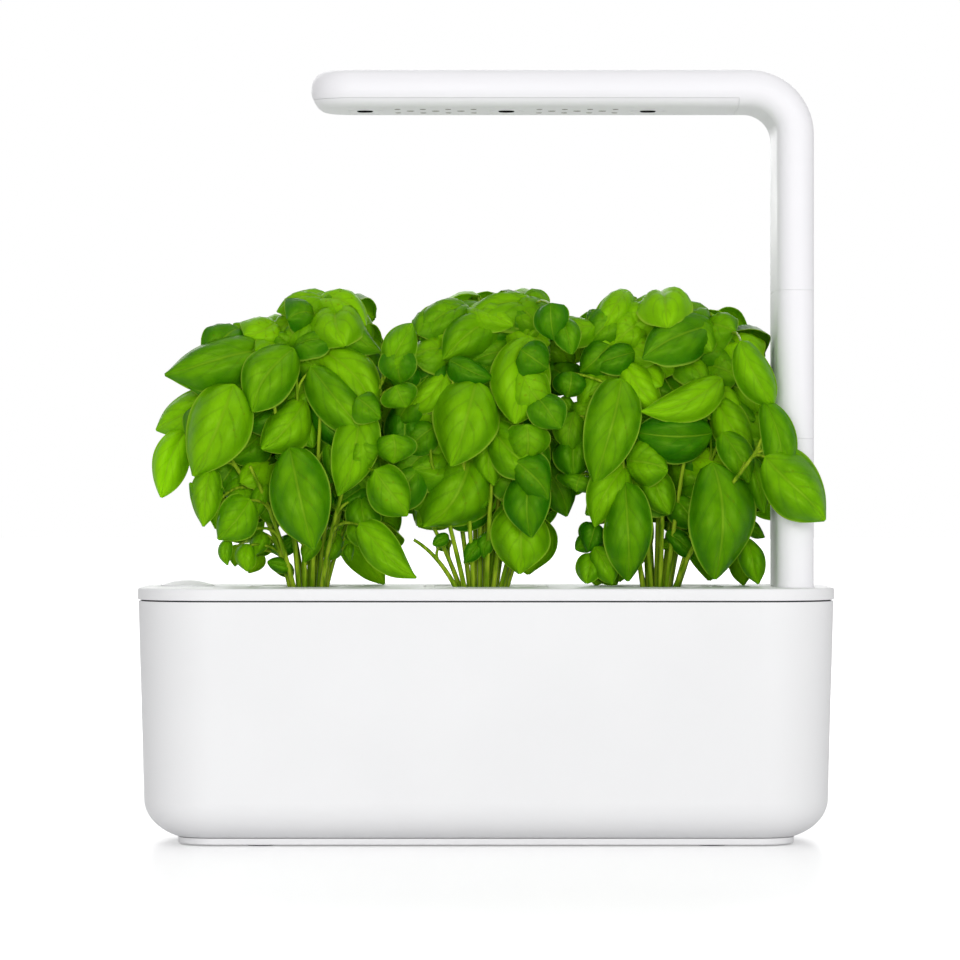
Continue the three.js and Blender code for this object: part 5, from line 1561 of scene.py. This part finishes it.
# Leaves of the back, which repeat the front's
back_depth_share = 0.12
back_spread_share = 0.93
back_sunk_share = 0.02

stalk_radius = 0.0012
stalk_points = 14
stalk_sides = 10
stalk_end_share = 0.6
petiole_points = 7
petiole_foot_share = 0.6
petiole_end_share = 0.45
petiole_reach_share = 0.03
blade_rows = 20
blade_half = 7
inner_rows = 12
inner_half = 4
plant_seed = 40
plant_tones = [0.04, 0.08, 0.09]
gap_to_fellow = 0.0006
blade_thick = 0.00035
arch_share = 0.13
cup_share = 0.19
curl_share = 0.14
bulge_share = 0.1
pucker_share = 0.05
ripple_share = 0.05
ripple_turn = 9
ripple_offset = 2
full_share = 0.45
slim_share = 0.27
point_start_share = 0.78
point_run_share = 0.22
least_width_share = 0.03

# How much one blade may differ from the next
sway_share = 0.08
lean_share = 0.12
hook_share = 0.14
droop_share = 0.18
twist_most = 0.7
tone_share = 0.05
shoulder_shares = [0.75, 1.0]
point_shares = [0.0, 0.55]
cup_range_shares = [0.5, 1.5]
curl_range_shares = [0.2, 1.8]


def bush_point(across, up, depth):
    return Vector((across * leaf_reach, depth * bush_depth, lid_top + up * canopy_high))


def quadratic(start, control, end, count):
    points = []
    for k in range(count + 1):
        t = k / count
        points.append(start * (1 - t) ** 2 + control * (2 * t * (1 - t)) + end * t ** 2)
    return points


def stalk_path(share):
    foot_across, foot_depth, elbow_across, elbow_up, top_across, top_up, top_depth = share
    root = Vector((foot_across * leaf_reach, foot_depth * bush_depth, plug_top - plug_sunk))
    elbow = bush_point(elbow_across, elbow_up, foot_depth + top_depth / 3)
    return quadratic(root, elbow, bush_point(top_across, top_up, top_depth), stalk_points)


def width_at(t, shoulder, point):
    """How wide a blade is along its length, as a share of its full width."""
    body = math.sin(math.pi * t ** shoulder) ** (full_share + slim_share * t) if 0 < t < 1 else 0.0
    end = max(0.0, (t - point_start_share) / point_run_share)
    return max(body * (1 - point * end * end), least_width_share)


def blade(base, tip, width, facing, chance, rows=blade_rows, half_columns=blade_half):
    """Grid rows of a blade from its base to its tip, set toward the way that it faces."""
    run = tip - base
    along = run.normalized()
    normal = (facing - along * facing.dot(along)).normalized()
    side = normal.cross(along)
    long = run.length
    sway = chance.uniform(-sway_share, sway_share) * long
    wave = chance.uniform(0, math.tau)
    lean = chance.uniform(-lean_share, lean_share)
    shoulder = chance.uniform(*shoulder_shares)
    point = chance.uniform(*point_shares)
    hook = chance.uniform(-hook_share, hook_share) * long
    droop = chance.uniform(0.0, droop_share) * long
    twist = chance.uniform(-twist_most, twist_most)
    cup = cup_share * chance.uniform(*cup_range_shares)
    curl = curl_share * chance.uniform(*curl_range_shares)
    grid = []
    for row in range(rows + 1):
        t = row / rows
        arch = 4 * t * (1 - t)
        middle = base + run * t + normal * (arch_share * long * arch - droop * t ** 4)
        middle += side * (sway * arch + hook * t ** 5)
        turn = twist * (t - 0.5)
        row_side = side * math.cos(turn) + normal * math.sin(turn)
        row_normal = normal * math.cos(turn) - side * math.sin(turn)
        broad = width * width_at(t, shoulder, point)
        half = broad / 2
        line = []
        for column in range(-half_columns, half_columns + 1):
            s = column / half_columns
            out = abs(s)
            depth = cup * s * s + curl * out ** 4 - lean * s
            quilt = bulge_share * math.sin(math.pi * out)
            phase = vein_count * (t - vein_slant_share * out ** vein_bend)
            quilt += pucker_share * abs(math.sin(math.pi * phase)) * math.sin(math.pi * out) ** 0.6
            ripple_phase = wave + ripple_turn * t + (ripple_offset if s > 0 else 0)
            ripple = ripple_share * out ** 3 * math.sin(ripple_phase)
            lift = (quilt - depth + ripple) * broad
            line.append(middle + row_side * (half * s) + row_normal * lift)
        grid.append(line)
    return grid


def grid_normals(grid):
    rows = len(grid)
    columns = len(grid[0])
    normals = []
    for i in range(rows):
        line = []
        for j in range(columns):
            along = grid[min(i + 1, rows - 1)][j] - grid[max(i - 1, 0)][j]
            across = grid[i][min(j + 1, columns - 1)] - grid[i][max(j - 1, 0)]
            line.append(along.cross(across).normalized())
        normals.append(line)
    return normals


class Bush:
    """The blades of one plant, gathered into one mesh with a map and a tone for each leaf."""

    def __init__(self):
        self.points = []
        self.faces = []
        self.maps = []
        self.under = []
        self.tones = []

    def add(self, grid, tone):
        normals = grid_normals(grid)
        rows = len(grid)
        columns = len(grid[0])
        start = len(self.points)
        for sheet, depth in ((0, 0.0), (1, blade_thick)):
            for i in range(rows):
                for j in range(columns):
                    self.points.append(grid[i][j] + normals[i][j] * depth)
                    self.tones.append(tone)

        def corner(sheet, i, j):
            return start + sheet * rows * columns + i * columns + j

        def place(i, j):
            return (j / (columns - 1), i / (rows - 1))

        for i in range(rows - 1):
            for j in range(columns - 1):
                cell = [(i, j), (i + 1, j), (i + 1, j + 1), (i, j + 1)]
                for sheet, around in ((1, cell), (0, cell[::-1])):
                    self.faces.append([corner(sheet, *spot) for spot in around])
                    self.maps.append([place(*spot) for spot in around])
                    self.under.append(sheet == 0)
        rim = [(0, j) for j in range(columns)] + [(i, columns - 1) for i in range(1, rows)]
        rim += [(rows - 1, j) for j in range(columns - 2, -1, -1)] + [(i, 0) for i in range(rows - 2, 0, -1)]
        for spot, after in zip(rim, rim[1:] + rim[:1]):
            self.faces.append([corner(0, *spot), corner(0, *after), corner(1, *after), corner(1, *spot)])
            self.maps.append([place(*spot), place(*after), place(*after), place(*spot)])
            self.under.append(False)

    def made(self, name):
        leaves = shape(name, self.points, self.faces)
        mesh = leaves.data
        layer = mesh.uv_layers.new(name="blade")
        places = [value for corners in self.maps for place in corners for value in place]
        layer.data.foreach_set("uv", places)
        tone = mesh.attributes.new("tone", "FLOAT", "POINT")
        tone.data.foreach_set("value", self.tones)
        mesh.materials.append(leaf_green)
        mesh.materials.append(leaf_under_green)
        mesh.polygons.foreach_set("material_index", [int(under) for under in self.under])
        mesh.shade_smooth()
        return leaves


def border(plane, front, back):
    """The least and the greatest shift of the border between two plants, over the depth of a blade."""
    shifts = []
    start = -1.0
    for end, shift in border_shares[plane]:
        if back > start * bush_depth - gap_to_fellow and front < end * bush_depth + gap_to_fellow:
            shifts.append(shift * leaf_reach)
        start = end
    return min(shifts), max(shifts)


def sideways_move(number, grid):
    """How far a blade has to move along X to stay clear of its neighbours, the float and the mast."""
    across = [point.x for line in grid for point in line]
    deep = [point.y for line in grid for point in line]
    up = [point.z for line in grid for point in line]
    front = min(deep)
    back = max(deep)
    left = -2 * half_pitch
    right = 2 * half_pitch
    if number > 1:
        left = border(number - 2, front, back)[1] + gap_to_fellow - half_pitch
    elif min(up) < cap_high.z + float_travel and front < cap_radius and back > -cap_radius:
        left = float_x + cap_radius + gap_to_fellow - pod_x[0]
    if number < 3:
        right = half_pitch + border(number - 1, front, back)[0] - gap_to_fellow
    elif front < bar_depth / 2 + gap_to_fellow and back > -bar_depth / 2 - gap_to_fellow:
        right = mast_x - bar_thick / 2 - gap_to_fellow - pod_x[2]
    if max(across) > right:
        return right - max(across)
    if min(across) < left:
        return left - min(across)
    return 0.0


def inner_leaves(number, chance):
    """Leaves that fill the canopy, in rows across it and in layers from front to back."""
    leaves = []
    for up, (left, right) in zip(canopy_up_shares, canopy_shares[number - 1]):
        count = round((right - left) / inner_pitch_share)
        for layer, depth in enumerate(inner_layer_shares):
            for k in range(count + 1):
                stray = chance.uniform(-inner_stray_share, inner_stray_share)
                across = left + (right - left) * min(max((k + stray) / count, 0), 1)
                aside = across if abs(across) > inner_near_share else chance.uniform(-1, 1)
                outward = math.copysign(1, aside)
                sideways = -1 if layer == 0 else 1 if layer == 2 else chance.choice((-1, 1))
                run_across = outward * chance.uniform(*inner_run_shares)
                run_up = chance.uniform(-inner_drop_share, 0.0)
                run = Vector((run_across, run_up, sideways * chance.uniform(*inner_turn_shares)))
                middle_up = up + chance.uniform(-inner_up_share, inner_up_share)
                middle_deep = depth + chance.uniform(-inner_depth_share, inner_depth_share)
                middle = Vector((across, middle_up, middle_deep))
                base = middle - run / 2
                tip = middle + run / 2
                # Leaves of the back layer get brighter tones: painted backlight
                tone = chance.uniform(*(backlit_tone_shares if layer == 2 else inner_tone_shares))
                width = chance.uniform(*inner_width_shares)
                leaves.append(([*base, *tip, width, chance.uniform(*inner_facing_shares), tone], sideways))
    return leaves


def edge_leaves(number, chance):
    """Leaves along the borders with the neighbours, each in a band of depth that its own plant may fill."""
    leaves = []
    for plane, outward in ((number - 2, -1), (number - 1, 1)):
        if plane not in range(len(border_shares)):
            continue
        start = -edge_deep_share
        for end, shift in border_shares[plane]:
            depth = (start + min(end, edge_deep_share)) / 2
            start = end
            if shift * outward < 0:
                continue
            sideways = 1 if depth > edge_turn_share else -1
            for up in edge_up_shares[plane]:
                reach = outward * half_pitch / leaf_reach + shift
                tip_across = reach - outward * chance.uniform(0.0, edge_stray_share)
                base_across = tip_across - outward * chance.uniform(0.0, edge_run_share)
                base_up = up + chance.uniform(0.0, edge_rise_share)
                base_deep = depth + chance.uniform(-edge_depth_share, edge_depth_share)
                tip_up = up - chance.uniform(*edge_drop_shares)
                tip_deep = depth + chance.uniform(-edge_depth_share, edge_depth_share)
                ranges = (edge_width_shares, edge_facing_shares, edge_tone_shares)
                look = [chance.uniform(*shares) for shares in ranges]
                leaf = [base_across, base_up, base_deep, tip_across, tip_up, tip_deep, *look]
                leaves.append((leaf, sideways))
    return leaves


def make_plant(number):
    chance = random.Random(plant_seed + number)
    shift = Vector((pod_x[number - 1], 0, 0))
    stalks = [stalk_path(share) for share in stalk_shares[number - 1]]
    paths = [(path, 1.0, stalk_end_share) for path in stalks]
    joints = [(point, path[k + 1] - point) for path in stalks for k, point in enumerate(path[:-1]) if k > 0]
    bush = Bush()

    def add_leaf(share, sideways, rows=blade_rows, half_columns=blade_half):
        base_across, base_up, base_depth, tip_across, tip_up, tip_depth, width, forward, tone = share
        base = bush_point(base_across, base_up, base_depth)
        tip = bush_point(tip_across, tip_up, tip_depth)
        facing = Vector((0, sideways * forward, 1 - forward))
        grid = blade(base, tip, width * leaf_reach, facing, chance, rows, half_columns)
        move = Vector((sideways_move(number, grid), 0, 0))
        grid = [[point + move for point in line] for line in grid]
        base += move
        tip += move
        aim = base - Vector((0, 0, leaf_reach / 4))
        joint, way = min(joints, key=lambda found: (found[0] - aim).length)
        bow = joint + way.normalized() * ((base - joint).length / 2)
        petiole = quadratic(joint, bow, base + (tip - base) * petiole_reach_share, petiole_points)
        paths.append((petiole, petiole_foot_share, petiole_end_share))
        bush.add(grid, tone + plant_tones[number - 1] + chance.uniform(-tone_share, tone_share))

    for share in leaf_shares[number - 1]:
        add_leaf(share, -1)
        if share[5] < -back_depth_share:
            fellow = list(share)
            fellow[0] *= back_spread_share
            fellow[1] -= back_sunk_share
            fellow[2] = -share[2]
            fellow[3] *= back_spread_share
            fellow[4] -= back_sunk_share / 2
            fellow[5] = -share[5]
            add_leaf(fellow, 1)
    for share, sideways in inner_leaves(number, chance) + edge_leaves(number, chance):
        add_leaf(share, sideways, inner_rows, inner_half)
    bush.points = [point + shift for point in bush.points]
    leaves = bush.made(f"basil_leaves_{number}")
    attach(leaves, f"pod_{number}")
    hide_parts(f"basil_{number}")
    curves = bpy.data.curves.new("paths", "CURVE")
    curves.dimensions = "3D"
    for points, foot, end in paths:
        spline = curves.splines.new("POLY")
        spline.points.add(len(points) - 1)
        for k, point in enumerate(points):
            spline.points[k].co = (*(point + shift), 1)
            spline.points[k].radius = foot + (end - foot) * k / (len(points) - 1)
    drawn = bpy.data.objects.new("paths", curves)
    bpy.context.scene.collection.objects.link(drawn)
    grown(f"basil_stalks_{number}", drawn, stalk_tree, f"pod_{number}", "leaf",
          Thickness=stalk_radius, Sides=stalk_sides, Finish=stalk_green)


def make_crumbs(number):
    """Loose peat on top of a plug."""
    half = cup_neck - cup_wall - crumb_size * 2
    top = plug_top + crumb_size / 3
    ring = square_ring(half, cup_neck_corner - cup_wall, top, pod_x[number - 1])
    bed = shape("bed", ring, [tuple(range(len(ring)))])
    grown(f"peat_crumbs_{number}", bed, strewn_tree, f"pod_{number}", "peat",
          Density=crumb_density, Size=crumb_size, Seed=number, Finish=crumb_brown)


for number in (1, 2, 3):
    make_plant(number)
    make_crumbs(number)

# CAD pieces that keep their shape and get a finish
kept_finishes = (
    (liner, ["water_tank", "mast_socket", "float_guide"]),
    (casing, ["float_stem"]),
    (felt, ["float_bulb", "wick_1", "wick_2", "wick_3"]),
    (peat, ["peat_plug_1", "peat_plug_2", "peat_plug_3"]),
    (black_plastic, ["socket_pins", "supply_lead", "lamp_lead"]),
    (black_plastic, ["lower_arm_contacts", "upper_arm_contacts", "lamp_contacts"]),
    (board_white, ["led_board"]),
    (aluminium, ["heat_spreader"]),
)
for material, names in kept_finishes:
    for name in names:
        for slot in nodes[name].material_slots:
            slot.material = material
